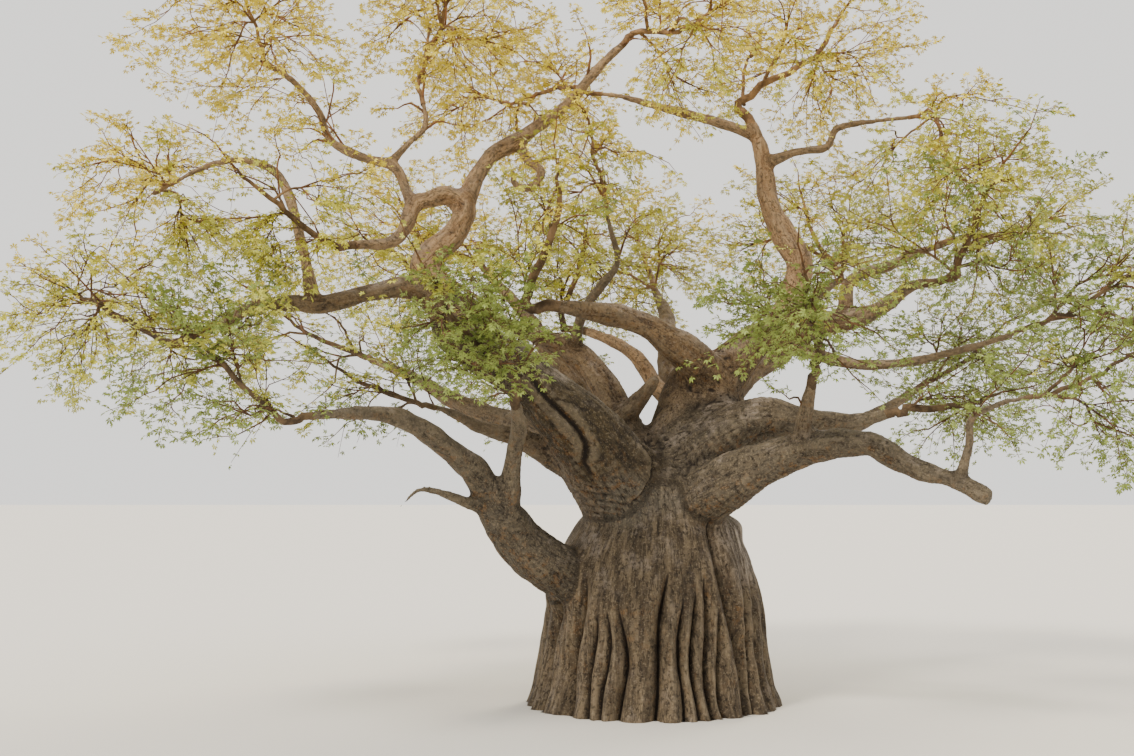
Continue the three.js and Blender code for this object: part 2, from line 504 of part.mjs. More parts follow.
const COLOURS = {
  trunk: [0x7d6a5d, 0.92],
  bough: [0x9a8068, 0.86],
  foliage: [0x93a04a, 0.7],
};

const tree = new THREE.Group();
tree.name = "baobab_tree";

function addNode(name, solid, kind) {
  const { vertProperties, triVerts } = solid.getMesh();
  const geometry = new THREE.BufferGeometry();
  geometry.setAttribute("position", new THREE.BufferAttribute(Float32Array.from(vertProperties), 3));
  geometry.setIndex(new THREE.BufferAttribute(Uint32Array.from(triVerts), 1));
  geometry.computeVertexNormals();
  const [color, roughness] = COLOURS[kind];
  const material = new THREE.MeshStandardMaterial({ color, roughness, metalness: 0 });
  material.name = kind === "foliage" ? "foliage" : `${kind}_bark`;
  const mesh = new THREE.Mesh(geometry, material);
  mesh.name = name;
  tree.add(mesh);
}

addNode("trunk", trunkBody(), "trunk");

const cutters = [{ body: trunkBody(CLEARANCE), name: "trunk" }];
const limbRows = {};
for (const [name, limb] of Object.entries(LIMBS)) {
  let rows = smoothRows(limb.rows, 1);
  if (limb.butt) {
    const parent = limbRows[limb.from];
    const tip = parent[parent.length - 1];
    const ahead = headings(parent)[parent.length - 1];
    rows[0] = [...add(tip, scale(ahead, CLEARANCE)), tip[3]];
    rows[1] = [...add(rows[0], scale(ahead, distance(rows[0], rows[1]))), rows[1][3]];
  }
  limbRows[name] = rows;
  addObstacles(name, rows);
  let body = tube(rows, limb.sides);
  let grown = tube(rows, limb.sides, CLEARANCE);
  if (limb.stub) {
    body = body.add(tube(limb.stub, STUB_SIDES));
    grown = grown.add(tube(limb.stub, STUB_SIDES, CLEARANCE));
    addObstacles(name, limb.stub);
  }
  for (const cutter of cutters) {
    if (!(limb.butt && cutter.name === limb.from)) body = body.subtract(cutter.body);
  }
  cutters.push({ body: grown, name });
  addNode(name, largestPiece(body), "bough");
}

let seed = 11;
for (const [name, mass] of Object.entries(MASSES)) {
  mass.seed = seed;
  mass.stem = stemRows(mass);
  addObstacles(name, mass.stem);
  seed += 17;
}
for (const name of Object.keys(MASSES)) addNode(name, growMass(name), "foliage");

export default tree;
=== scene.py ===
import math

import bmesh
import bpy
import numpy as np
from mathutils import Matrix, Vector, kdtree, noise


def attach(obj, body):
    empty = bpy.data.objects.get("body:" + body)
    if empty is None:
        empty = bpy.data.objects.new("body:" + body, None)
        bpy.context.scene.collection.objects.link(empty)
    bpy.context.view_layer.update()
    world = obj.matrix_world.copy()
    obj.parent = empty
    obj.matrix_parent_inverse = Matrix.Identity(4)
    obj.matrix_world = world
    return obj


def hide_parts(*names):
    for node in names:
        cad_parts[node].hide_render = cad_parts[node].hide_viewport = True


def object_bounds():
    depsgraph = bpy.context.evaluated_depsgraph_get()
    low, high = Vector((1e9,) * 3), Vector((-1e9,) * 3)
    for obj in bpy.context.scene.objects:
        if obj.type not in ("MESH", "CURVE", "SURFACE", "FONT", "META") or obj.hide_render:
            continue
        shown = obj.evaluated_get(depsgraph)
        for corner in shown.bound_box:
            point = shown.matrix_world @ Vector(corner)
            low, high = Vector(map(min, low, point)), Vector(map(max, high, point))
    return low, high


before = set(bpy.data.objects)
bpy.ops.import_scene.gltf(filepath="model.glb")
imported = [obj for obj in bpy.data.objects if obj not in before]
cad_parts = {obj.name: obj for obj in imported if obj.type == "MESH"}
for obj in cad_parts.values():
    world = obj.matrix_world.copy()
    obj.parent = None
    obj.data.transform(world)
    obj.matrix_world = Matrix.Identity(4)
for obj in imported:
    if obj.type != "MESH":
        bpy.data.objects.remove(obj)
cad_box = [list(corner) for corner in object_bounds()]


# The limbs
# The living boughs of an old baobab. Each is one tapering limb that leaves the trunk or an older limb.
# Every row is a place along it and its girth there, in metres: x, y, z, girth.

LIMBS = {
    "great_left_bough": [
        (-0.4, -0.35, 4.9, 1.7), (-1.15, -1.0, 5.75, 1.85), (-1.9, -1.5, 6.7, 1.65),
        (-2.7, -1.85, 7.5, 1.36), (-3.6, -2.1, 8.2, 1.17), (-4.6, -2.2, 8.8, 0.98), (-5.0, -2.2, 9.6, 0.79)],
    "right_crown_column": [
        (0.75, 0.3, 5.2, 2.2), (1.1, 0.4, 6.4, 2.15), (1.35, 0.5, 7.4, 1.9), (1.6, 0.6, 8.2, 1.4),
        (1.7, 0.65, 8.5, 0.8)],
    "low_left_limb": [
        (-1.8, -0.7, 2.8, 1.3), (-2.95, -1.5, 3.8, 1.19), (-3.45, -2.0, 4.4, 1.0), (-4.1, -2.6, 5.5, 0.65),
        (-4.6, -3.1, 6.0, 0.55), (-5.2, -3.8, 6.5, 0.48), (-5.9, -4.5, 6.8, 0.39), (-6.6, -5.2, 6.8, 0.29),
        (-7.4, -6.0, 6.7, 0.18)],
    "low_left_upright": [
        (-3.45, -2.1, 4.5, 0.54), (-3.35, -2.5, 5.4, 0.46), (-3.25, -2.8, 6.1, 0.40), (-3.15, -3.2, 6.6, 0.36),
        (-3.2, -3.8, 7.1, 0.26)],
    "lowest_right_limb": [
        (0.8, -0.7, 4.75, 1.2), (1.75, -1.8, 5.4, 1.12), (2.5, -2.4, 5.8, 0.96), (3.2, -2.8, 6.1, 0.86),
        (3.8, -3.2, 6.2, 0.72), (4.6, -3.7, 6.2, 0.60), (5.1, -4.0, 5.9, 0.52), (5.6, -4.3, 5.6, 0.45),
        (6.2, -4.6, 5.4, 0.39), (6.7, -5.0, 5.1, 0.46), (6.85, -5.1, 5.05, 0.30)],
    "upper_low_right_limb": [
        (1.1, -0.3, 6.0, 1.5), (1.9, -0.6, 6.6, 1.26), (2.8, -0.8, 6.9, 0.97), (3.5, -1.0, 6.85, 0.72),
        (4.7, -1.2, 6.8, 0.43), (5.6, -1.3, 7.0, 0.26)],
    "left_middle_limb": [
        (-1.2, -0.9, 5.3, 0.8), (-2.1, -0.9, 5.8, 0.64), (-2.9, -0.9, 6.3, 0.53), (-3.5, -1.0, 6.5, 0.43),
        (-4.2, -1.3, 6.7, 0.31), (-4.8, -1.9, 7.0, 0.21), (-5.2, -2.5, 7.1, 0.16)],
    "second_left_bough": [
        (-0.3, 0.2, 5.6, 1.2), (-0.8, 0.55, 7.0, 0.95), (-1.1, 0.7, 7.7, 0.83), (-1.5, 0.85, 8.3, 0.71),
        (-2.1, 1.0, 8.8, 0.61), (-3.0, 1.3, 9.2, 0.44)],
    "left_lower_limb": [
        (-4.7, -2.3, 9.1, 0.7), (-5.5, -2.6, 9.8, 0.55), (-6.4, -3.0, 9.7, 0.46), (-7.6, -3.6, 9.3, 0.40),
        (-8.1, -3.9, 9.3, 0.38), (-8.9, -4.3, 9.2, 0.28), (-9.4, -4.6, 8.8, 0.26), (-10.0, -5.0, 8.5, 0.19)],
    "elbow_bough": [
        (-5.0, -2.2, 9.6, 0.77), (-5.0, -2.0, 10.5, 0.71), (-4.8, -1.8, 11.2, 0.62), (-4.5, -1.6, 11.9, 0.56),
        (-4.9, -1.6, 12.2, 0.48), (-5.3, -1.7, 12.1, 0.43), (-5.7, -1.8, 11.9, 0.40), (-5.9, -2.0, 11.3, 0.35),
        (-6.2, -2.5, 10.9, 0.30), (-6.9, -3.4, 10.7, 0.21)],
    "top_centre_bough": [
        (-4.6, -1.6, 11.8, 0.48), (-4.3, -1.3, 12.6, 0.43), (-3.9, -1.0, 13.3, 0.41), (-3.2, -0.8, 13.8, 0.37),
        (-2.1, -0.5, 14.7, 0.30), (-1.2, -0.3, 15.8, 0.25), (-0.7, -0.2, 16.3, 0.20)],
    "upper_left_arm": [
        (-5.7, -1.8, 11.8, 0.31), (-5.9, -1.7, 12.3, 0.29), (-6.2, -1.6, 12.9, 0.28), (-6.9, -1.6, 13.1, 0.26),
        (-7.7, -1.7, 13.5, 0.23), (-8.0, -1.8, 14.2, 0.19), (-8.5, -2.0, 14.8, 0.17), (-9.1, -2.2, 15.2, 0.14)],
    "upper_left_riser": [
        (-6.3, -1.55, 13.0, 0.22), (-5.9, -1.4, 13.5, 0.19), (-5.5, -1.2, 14.0, 0.17), (-5.6, -1.0, 14.7, 0.14)],
    "left_bent_arm": [
        (-7.7, -3.6, 9.3, 0.33), (-8.1, -3.2, 10.8, 0.27), (-8.4, -3.0, 11.8, 0.25), (-8.8, -2.9, 12.5, 0.22),
        (-9.5, -3.1, 12.7, 0.20), (-10.2, -3.4, 12.5, 0.17), (-10.9, -3.8, 12.0, 0.13)],
    "twisted_riser": [
        (-1.9, 0.9, 8.7, 0.36), (-1.7, 0.4, 9.6, 0.28), (-1.2, 0.2, 10.3, 0.23), (-0.8, 0.2, 10.9, 0.20),
        (-1.0, 0.2, 11.8, 0.17), (-1.1, 0.2, 12.4, 0.13)],
    "pale_back_limb": [
        (0.9, 1.0, 7.2, 0.56), (0.3, 1.6, 7.8, 0.46), (-0.2, 2.0, 8.6, 0.39), (-0.8, 2.5, 9.1, 0.33),
        (-1.6, 3.2, 9.5, 0.24)],
    "crossing_limb": [
        (1.7, 0.3, 7.9, 1.1), (1.0, -0.4, 8.4, 0.94), (0.5, -0.7, 8.75, 0.78), (-0.3, -1.0, 9.2, 0.63),
        (-1.3, -1.5, 9.4, 0.48), (-2.4, -2.0, 9.5, 0.32)],
    "upper_right_limb": [
        (1.7, 0.5, 7.9, 1.2), (2.7, 0.2, 8.9, 0.90), (3.9, -0.4, 9.2, 0.69), (4.8, -1.0, 9.3, 0.53),
        (5.4, -1.5, 9.5, 0.40), (5.9, -2.0, 9.9, 0.31), (6.3, -2.4, 10.0, 0.23)],
    "s_bough": [
        (3.2, 0.1, 8.9, 0.75), (3.4, 0.3, 9.5, 0.70), (3.75, 0.8, 10.4, 0.70), (3.85, 1.0, 11.0, 0.72),
        (3.5, 1.2, 11.8, 0.66), (3.2, 1.4, 12.6, 0.56), (3.1, 1.6, 13.5, 0.47), (3.0, 1.8, 14.3, 0.40),
        (2.8, 1.9, 14.9, 0.30)],
    "s_left_arm": [
        (3.0, 1.85, 14.5, 0.35), (2.2, 1.9, 14.8, 0.30), (1.1, 1.8, 15.1, 0.27), (0.2, 1.7, 15.3, 0.23),
        (-0.6, 1.6, 15.5, 0.18), (-1.3, 1.6, 15.6, 0.14)],
    "s_step_arm": [
        (3.1, 1.6, 13.7, 0.31), (3.9, 1.5, 14.0, 0.25), (4.7, 1.4, 14.1, 0.22), (5.0, 1.35, 14.6, 0.20),
        (6.0, 1.2, 14.75, 0.16), (6.9, 1.0, 14.8, 0.13)],
    "right_upper_limb": [
        (4.7, -0.9, 9.2, 0.41), (4.75, -0.7, 10.1, 0.34), (5.1, -0.6, 10.45, 0.31), (5.9, -0.4, 10.7, 0.27),
        (6.5, -0.3, 11.0, 0.24), (7.3, 0.0, 11.3, 0.20)],
    "right_mid_limb": [
        (3.3, 0.0, 8.8, 0.42), (4.7, -0.9, 8.25, 0.30), (5.9, -1.4, 8.2, 0.25), (6.9, -1.9, 8.4, 0.21),
        (7.7, -2.3, 8.6, 0.18), (8.5, -2.7, 8.9, 0.14)],
    "low_right_upright": [
        (3.3, -2.9, 6.2, 0.50), (3.3, -3.1, 6.9, 0.38), (3.4, -3.5, 7.6, 0.26)],
    "right_hook_limb": [
        (6.3, -4.7, 5.4, 0.26), (6.5, -4.8, 6.2, 0.20), (6.5, -5.0, 6.7, 0.18), (7.0, -5.5, 7.0, 0.15),
        (7.5, -5.9, 7.1, 0.13)],
    "back_left_low_bough": [
        (-0.9, 0.7, 4.9, 1.25), (-2.0, 1.7, 6.0, 0.95), (-3.3, 2.9, 6.9, 0.72), (-4.9, 4.1, 7.5, 0.52),
        (-6.3, 5.0, 8.3, 0.36), (-7.6, 5.7, 8.9, 0.22)],
    "back_left_high_bough": [
        (-0.7, 0.6, 6.7, 0.95), (-1.3, 1.9, 7.6, 0.74), (-2.4, 3.6, 8.8, 0.56), (-3.3, 4.9, 10.2, 0.40),
        (-4.3, 6.3, 11.4, 0.26)],
    "back_middle_bough": [
        (1.0, 0.9, 6.3, 1.05), (0.9, 2.2, 7.3, 0.80), (0.7, 3.8, 8.7, 0.62), (0.8, 5.2, 10.0, 0.44),
        (0.6, 6.9, 11.0, 0.26)],
    "back_right_high_bough": [
        (1.7, 1.0, 7.2, 0.95), (2.6, 2.4, 8.2, 0.72), (3.9, 3.6, 9.0, 0.55), (4.7, 4.7, 10.3, 0.38),
        (5.7, 5.9, 11.2, 0.24)],
    "back_right_low_bough": [
        (0.9, 0.7, 4.7, 1.3), (2.3, 1.8, 5.7, 0.98), (3.8, 3.0, 6.3, 0.74), (5.3, 4.0, 6.7, 0.54),
        (6.8, 4.8, 7.4, 0.37), (8.0, 5.4, 8.1, 0.22)],
    "back_low_bough": [
        (-0.1, 0.9, 4.3, 1.3), (-0.4, 2.6, 5.6, 0.92), (-0.9, 4.3, 6.3, 0.68), (-1.4, 6.0, 6.8, 0.48),
        (-2.2, 7.6, 7.5, 0.28)],
}

# Dead, broken side limbs that stay on a living one.
STUBS = {
    "low_left_limb": [
        (-3.6, -2.1, 4.5, 0.32), (-4.35, -2.6, 4.9, 0.27), (-5.3, -3.1, 5.2, 0.15), (-5.8, -3.4, 4.8, 0.07),
    ],
    "second_left_bough": [
        (-0.9, 0.4, 6.7, 0.60), (-0.2, -0.3, 7.5, 0.40), (0.1, -0.8, 7.9, 0.25),
    ],
    "top_centre_bough": [
        (-3.2, -0.8, 13.9, 0.24), (-3.1, -0.9, 13.3, 0.24), (-2.7, -1.1, 12.9, 0.24), (-2.9, -1.2, 12.5, 0.23),
        (-3.3, -1.3, 12.5, 0.20), (-3.4, -1.4, 12.9, 0.14),
    ],
}

# The elbow carries straight on from the tip of the bough below it, a hair clear of it.
CARRIES_ON = {"elbow_bough": "great_left_bough"}
CLEARANCE = 0.0003


def smooth_rows(rows, steps):
    """A smooth line through the rows, with the given number of pieces to each span."""
    rows = np.asarray(rows, float)
    padded = np.vstack([2 * rows[0] - rows[1], rows, 2 * rows[-1] - rows[-2]])
    out = []
    for i in range(1, len(rows)):
        before, here, after, later = padded[i - 1:i + 3]
        for step in range(steps):
            t = step / steps
            out.append(0.5 * (2 * here + (after - before) * t
                              + (2 * before - 5 * here + 4 * after - later) * t ** 2
                              + (3 * here - before - 3 * after + later) * t ** 3))
    out.append(rows[-1])
    return np.array(out)


def unit(vectors):
    vectors = np.asarray(vectors, float)
    return vectors / np.maximum(np.linalg.norm(vectors, axis=-1, keepdims=True), 1e-12)


def headings(rows):
    """The direction at each row of a line, or of each line in a stack of lines."""
    points = np.asarray(rows, float)[..., :3]
    ahead = np.empty_like(points)
    ahead[..., 1:-1, :] = points[..., 2:, :] - points[..., :-2, :]
    ahead[..., 0, :] = points[..., 1, :] - points[..., 0, :]
    ahead[..., -1, :] = points[..., -1, :] - points[..., -2, :]
    return unit(ahead)


def lengths_along(rows):
    """How far along the line each row lies."""
    steps = np.linalg.norm(np.diff(np.asarray(rows, float)[:, :3], axis=0), axis=1)
    return np.concatenate([[0], np.cumsum(steps)])


limb_rows = {}
limb_lines = {}
for limb_name, places in LIMBS.items():
    rows = np.array(places, float)
    if limb_name in CARRIES_ON:
        parent = limb_rows[CARRIES_ON[limb_name]]
        ahead = headings(parent)[-1]
        rows[0] = [*(parent[-1, :3] + CLEARANCE * ahead), parent[-1, 3]]
        rows[1, :3] = rows[0, :3] + ahead * np.linalg.norm(rows[1, :3] - rows[0, :3])
    limb_rows[limb_name] = rows
    limb_lines[limb_name] = [rows]
    if limb_name in STUBS:
        limb_lines[limb_name].append(np.array(STUBS[limb_name]))


# The bark
# One living skin over the trunk and every bough, grey-brown and as thick as a hand. The trunk is a squat
# bell that has sagged under its own weight into rope-like folds, like candle wax, below a wrinkled neck.
# Limbs are swept as lumpy tubes, the tubes and the bell are grown together, and folds and scars are raised.

# Height, half width, and how far the middle leans to the right.
TRUNK_RINGS = [
    (-0.40, 3.02, 0.00), (0.00, 2.95, 0.00), (0.45, 2.80, 0.00), (1.30, 2.66, 0.02), (2.40, 2.54, 0.03),
    (3.20, 2.40, 0.04), (3.85, 2.20, 0.06), (4.35, 1.94, 0.10), (4.65, 1.72, 0.12), (5.00, 1.56, 0.08),
    (5.45, 1.46, 0.05), (5.90, 1.22, 0.02), (6.15, 0.80, 0.00),
]
TRUNK_DEPTH_SHARE = 0.93
TRUNK_TURNS = 240
TUBE_TURNS = 28
TUBE_STEP = 0.12
LIMB_FLARE = 0.26        # how much thicker a limb is at its root
STUB_FLARE = 0.20
SKIN_GRAIN = 0.058
trunk_rings = smooth_rows(TRUNK_RINGS, 6)


def frames_along(rows):
    """The heading and two crosswise directions at each row, carried along the line without twisting."""
    ahead = headings(rows)
    across = np.array([0.0, 0.0, 1.0]) if abs(ahead[0, 2]) < 0.9 else np.array([1.0, 0.0, 0.0])
    sides = []
    for way in ahead:
        across = unit(across - way * np.dot(across, way))
        sides.append(across)
    sides = np.array(sides)
    return ahead, sides, np.cross(ahead, sides)


def bell():
    """The trunk without its folds, as rings of points."""
    turn = np.linspace(0, 2 * np.pi, TRUNK_TURNS, endpoint=False)[None, :]
    height, half, lean = (trunk_rings[:, k:k + 1] for k in range(3))
    across = lean + half * np.cos(turn)
    deep = half * TRUNK_DEPTH_SHARE * np.sin(turn)
    return np.stack([across, deep, height + 0 * turn], axis=-1)


def lumpy_tube(rows, seed, flare):
    """A limb's skin: a tube whose cross-section swells and narrows in long muscles and old scars."""
    steps = max(2, int(lengths_along(rows)[-1] / TUBE_STEP / (len(rows) - 1)))
    fine = smooth_rows(rows, steps)
    along = lengths_along(fine)[:, None]
    _, side, up = frames_along(fine)
    phase = np.random.default_rng(seed).uniform(0, 2 * np.pi, 5)
    turn = np.linspace(0, 2 * np.pi, TUBE_TURNS, endpoint=False)[None, :]
    girth = fine[:, 3:4]
    run = along / np.maximum(girth, 0.25)
    lumps = (0.060 * np.sin(2 * turn + 0.55 * run + phase[0])
             + 0.050 * np.sin(3 * turn - 0.8 * run + phase[1])
             + 0.032 * np.sin(5 * turn + 0.6 * run + phase[2])
             + 0.055 * np.sin(1.35 * run + phase[3])
             + 0.035 * np.sin(2.9 * run + turn + phase[4]))
    radius = girth / 2 * (1 + lumps) * (1 + flare * np.exp(-along / (0.75 * rows[0, 3])))
    return (fine[:, None, :3] + side[:, None, :] * (radius * np.cos(turn))[..., None]
            + up[:, None, :] * (radius * np.sin(turn))[..., None])


def joined_rings(bodies):
    """One closed mesh from several stacks of rings, each capped at its ends by a middle point."""
    points = []
    faces = []
    first = 0
    for rings in bodies:
        rows, around = rings.shape[:2]
        points.append(np.vstack([rings.reshape(-1, 3), rings[0].mean(axis=0), rings[-1].mean(axis=0)]))
        ring = np.arange(around)
        after = (ring + 1) % around
        start = first + np.arange(rows - 1)[:, None] * around
        quads = np.stack([start + ring, start + after, start + after + around, start + ring + around],
                         axis=-1)
        faces += quads.reshape(-1, 4).tolist()
        low = first + rows * around
        last = first + (rows - 1) * around
        for k in range(around):
            faces.append((low, first + after[k], first + k))
            faces.append((low + 1, last + k, last + after[k]))
        first = low + 2
    return np.vstack(points), faces


def new_object(name, mesh):
    made = bpy.data.objects.new(name, mesh)
    bpy.context.scene.collection.objects.link(made)
    return made


def with_modifier(thing, kind, **settings):
    """The thing's mesh after one modifier with these settings."""
    modifier = thing.modifiers.new(kind.lower(), kind)
    for key, value in settings.items():
        setattr(modifier, key, value)
    made = bpy.data.meshes.new_from_object(thing.evaluated_get(bpy.context.evaluated_depsgraph_get()))
    thing.modifiers.clear()
    return made


skins = [bell()]
for number, lines in enumerate(limb_lines.values()):
    for rows, first_seed, flare in zip(lines, (40, 90), (LIMB_FLARE, STUB_FLARE)):
        skins.append(lumpy_tube(rows, first_seed + number, flare))
skin_points, skin_faces = joined_rings(skins)
skin = bpy.data.meshes.new("skin")
skin.from_pydata(skin_points.tolist(), [], skin_faces)
skin_object = new_object("skin", skin)
skin = with_modifier(skin_object, "REMESH", mode="VOXEL", voxel_size=SKIN_GRAIN)
bpy.data.objects.remove(skin_object)


def vectors_of(items, what):
    """Where a mesh's points are ("co") or face ("normal"), or where its faces are ("center")."""
    values = np.empty(len(items) * 3)
    items.foreach_get(what, values)
    return values.reshape(-1, 3)


def set_points(mesh, points):
    mesh.vertices.foreach_set("co", np.ascontiguousarray(points, dtype=np.float32).ravel())
    mesh.update()


def neighbour_mean(mesh):
    """A function that gives the mean of every point's neighbours."""
    edges = np.empty(len(mesh.edges) * 2, dtype=np.int64)
    mesh.edges.foreach_get("vertices", edges)
    a, b = edges.reshape(-1, 2).T
    count = np.bincount(np.concatenate([a, b]), minlength=len(mesh.vertices)).astype(float)

    def mean(values):
        columns = []
        for k in range(values.shape[1]):
            weights = np.concatenate([values[b, k], values[a, k]])
            columns.append(np.bincount(np.concatenate([a, b]), weights, minlength=len(count)) / count)
        return np.stack(columns, axis=1)

    return mean


def smoothed(values, rounds, share):
    """Values at the skin's points, drawn by a share towards their neighbours' mean in each round."""
    for _ in range(rounds):
        values = values + share * (skin_mean(values) - values)
    return values


def nearness(places, middle, reach):
    """1 at the middle of a soft egg-shaped space, and falling away to 0 past its reach."""
    return np.exp(-(((places - middle) / reach) ** 2).sum(axis=1))


def smoothstep(values, low, high):
    t = np.clip((values - low) / (high - low), 0, 1)
    return t * t * (3 - 2 * t)


def bell_place(points):
    """How far each point stands out of the bell, and its turn round the trunk."""
    half = np.interp(points[:, 2], trunk_rings[:, 0], trunk_rings[:, 1])
    lean = np.interp(points[:, 2], trunk_rings[:, 0], trunk_rings[:, 2])
    deep = points[:, 1] / TRUNK_DEPTH_SHARE
    return np.hypot(points[:, 0] - lean, deep) - half, np.arctan2(deep, points[:, 0] - lean)


# Old wood fills the crotch between two limbs, so the skin there is rounded further than elsewhere.
CROTCH_ROUNDS = 26
CROTCH_FILL = 1.3
DEEPEST_FILL = 0.13
STRONG_SMOOTHING = 0.6
skin_mean = neighbour_mean(skin)
points = smoothed(vectors_of(skin.vertices, "co"), 3, 0.5)
broad = smoothed(points, CROTCH_ROUNDS, STRONG_SMOOTHING)
set_points(skin, points)
outward = vectors_of(skin.vertices, "normal")
filled = ((broad - points) * outward).sum(axis=1)
points += outward * np.clip(CROTCH_FILL * filled, 0, DEEPEST_FILL)[:, None]
points = smoothed(points, 1, 0.4)

# Two boughs flow into the neck without a step, so the skin there is drawn out flat: the middle of each place
# and how far it reaches.
DRAWN_OUT = [
    ([-1.30, -1.25, 4.75], [0.95, 1.10, 0.52]),
    ([0.70, -0.80, 6.05], [0.42, 0.60, 0.42]),
]
DRAWN_OUT_ROUNDS = 120
broad = smoothed(broad, DRAWN_OUT_ROUNDS, STRONG_SMOOTHING)
for middle, reach in DRAWN_OUT:
    share = np.minimum(1.5 * nearness(points, middle, reach), 1)
    points += (broad - points) * share[:, None]
set_points(skin, points)

# The trunk's skin is made finer than the boughs', because its folds are narrow.
FINE_SKIN_TOP = 5.5
FINE_SKIN_REACH = 3.1
fine = bmesh.new()
fine.from_mesh(skin)
low_edges = [edge for edge in fine.edges
             if max(edge.verts[0].co.z, edge.verts[1].co.z) < FINE_SKIN_TOP
             and math.hypot(edge.verts[0].co.x, edge.verts[0].co.y) < FINE_SKIN_REACH]
bmesh.ops.subdivide_edges(fine, edges=low_edges, cuts=1, use_grid_fill=True)
fine.to_mesh(skin)
fine.free()
skin_mean = neighbour_mean(skin)
points = smoothed(vectors_of(skin.vertices, "co"), 1, 0.5)
set_points(skin, points)

# The limb that each point of the skin lies on, and its place there: across, up and along the limb.
line_table = []
for number, lines in enumerate(limb_lines.values()):
    for rows in lines:
        fine_rows = smooth_rows(rows, 10)
        ahead, side, _ = frames_along(fine_rows)
        limb_number = np.full(len(fine_rows), number)
        line_table.append(np.column_stack([fine_rows, ahead, side, lengths_along(fine_rows), limb_number]))
line_table = np.vstack(line_table)
line_rows, line_ahead, line_side = line_table[:, :4], line_table[:, 4:7], line_table[:, 7:10]
line_along, line_limb = line_table[:, 10], line_table[:, 11].astype(int)

line_tree = kdtree.KDTree(len(line_rows))
for k, row in enumerate(line_rows):
    line_tree.insert(row[:3], k)
line_tree.balance()
nearest = np.empty(len(points), dtype=np.int64)
for k, point in enumerate(points):
    nearest[k] = min(line_tree.find_n(point, 5), key=lambda hit: hit[2] - line_rows[hit[1], 3] / 2)[1]
from_line = points - line_rows[nearest, :3]
radius = line_rows[nearest, 3] / 2
along = line_along[nearest] + (from_line * line_ahead[nearest]).sum(axis=1)
across = (from_line * line_side[nearest]).sum(axis=1)
upward = (from_line * np.cross(line_ahead[nearest], line_side[nearest])).sum(axis=1)

stands_out, turn = bell_place(points)
height = points[:, 2]
on_trunk = (1 - smoothstep(stands_out, 0.04, 0.24)) * (1 - smoothstep(height, 5.0, 5.7))

# Each groove between two ropes: its turn round the trunk low down and at its top, in degrees, its top's
# height, its depth and how far its sides slope. The widest parts the front from the bundle behind it.
GROOVES = [
    (-168, -164, 2.95, 0.20, 0.26), (-155, -149, 3.40, 0.26, 0.28), (-135, -131, 3.45, 0.34, 0.32),
    (-123, -123, 2.80, 0.16, 0.20), (-116, -117, 2.85, 0.15, 0.18), (-108, -110, 2.80, 0.30, 0.26),
    (-90, -85, 3.65, 0.38, 0.30), (-79, -77, 3.05, 0.24, 0.22), (-72, -70, 3.30, 0.22, 0.18),
    (-64, -63, 3.55, 0.30, 0.20), (-57, -56, 2.85, 0.22, 0.20), (-45, -56, 4.85, 0.42, 0.36),
    (-37, -33, 3.90, 0.22, 0.20), (-28, -25, 3.50, 0.26, 0.24), (-15, -14, 3.80, 0.24, 0.26),
    (-2, -3, 3.10, 0.20, 0.24), (11, 9, 3.60, 0.32, 0.30), (27, 29, 3.20, 0.24, 0.26),
    (41, 39, 3.75, 0.34, 0.32), (56, 58, 3.00, 0.20, 0.24), (66, 67, 3.40, 0.26, 0.24),
    (82, 79, 3.70, 0.36, 0.32), (94, 95, 2.90, 0.20, 0.22), (107, 106, 3.50, 0.30, 0.28),
    (123, 125, 3.85, 0.36, 0.32), (136, 135, 3.05, 0.22, 0.24), (149, 147, 3.55, 0.30, 0.28),
    (164, 165, 3.15, 0.24, 0.26), (178, 178, 3.60, 0.32, 0.30),
]
low_down = smoothstep(4.1 - height, 0.0, 1.7)
valley = np.zeros(len(points))
slit = np.zeros(len(points))
for number, (low_turn, top_turn, top, depth, slope) in enumerate(GROOVES):
    share = np.clip((top - height) / (top - 1.6), 0, 1.3)
    line_turn = np.radians(top_turn + (low_turn - top_turn) * share) + 0.022 * np.sin(2.3 * height + number)
    gap = np.abs((turn - line_turn + np.pi) % (2 * np.pi) - np.pi) * (stands_out + 2.4)
    open_share = smoothstep(top - height, 0.0, 1.35)
    valley = np.maximum(valley, depth * open_share * np.clip(1 - gap / slope, 0, 1) ** 2)
    slit = np.maximum(slit, 0.09 * smoothstep(top - height, 0.25, 1.0) * np.exp(-(gap / 0.035) ** 2))

# Between the grooves the ropes swell unevenly. Fine ribs run down them and the foot spreads a little.
swell = 0.10 + 0.06 * np.sin(4 * turn + 0.4 * height + 2.2) + 0.035 * np.sin(9 * turn + 0.7 * height + 1.0)
rib_waver = 1.6 * np.sin(3 * turn + 0.5 * height)
rib = np.abs(np.sin(37 * turn + rib_waver + 0.8 * np.sin(1.1 * height + 4 * turn)))
folds = low_down * (swell + 0.016 * (rib - 0.6)) - valley - slit
folds += 0.16 * np.exp(-((turn + 0.26) / 0.30) ** 2) * np.exp(-((height - 4.30) / 0.26) ** 2)
folds *= on_trunk


def noise_at(places, seed):
    """Smooth noise from -1 to 1 at each place, in the places' own unit."""
    shift = Vector((seed * 7.31, seed * 3.17, seed * 5.23))
    return np.array([noise.noise(Vector(place) + shift) for place in places.tolist()])


def ridges_at(places, seed):
    """Noise that is 1 along thin wandering ridges and falls away from them."""
    return 1 - 2.2 * np.abs(noise_at(places, seed))


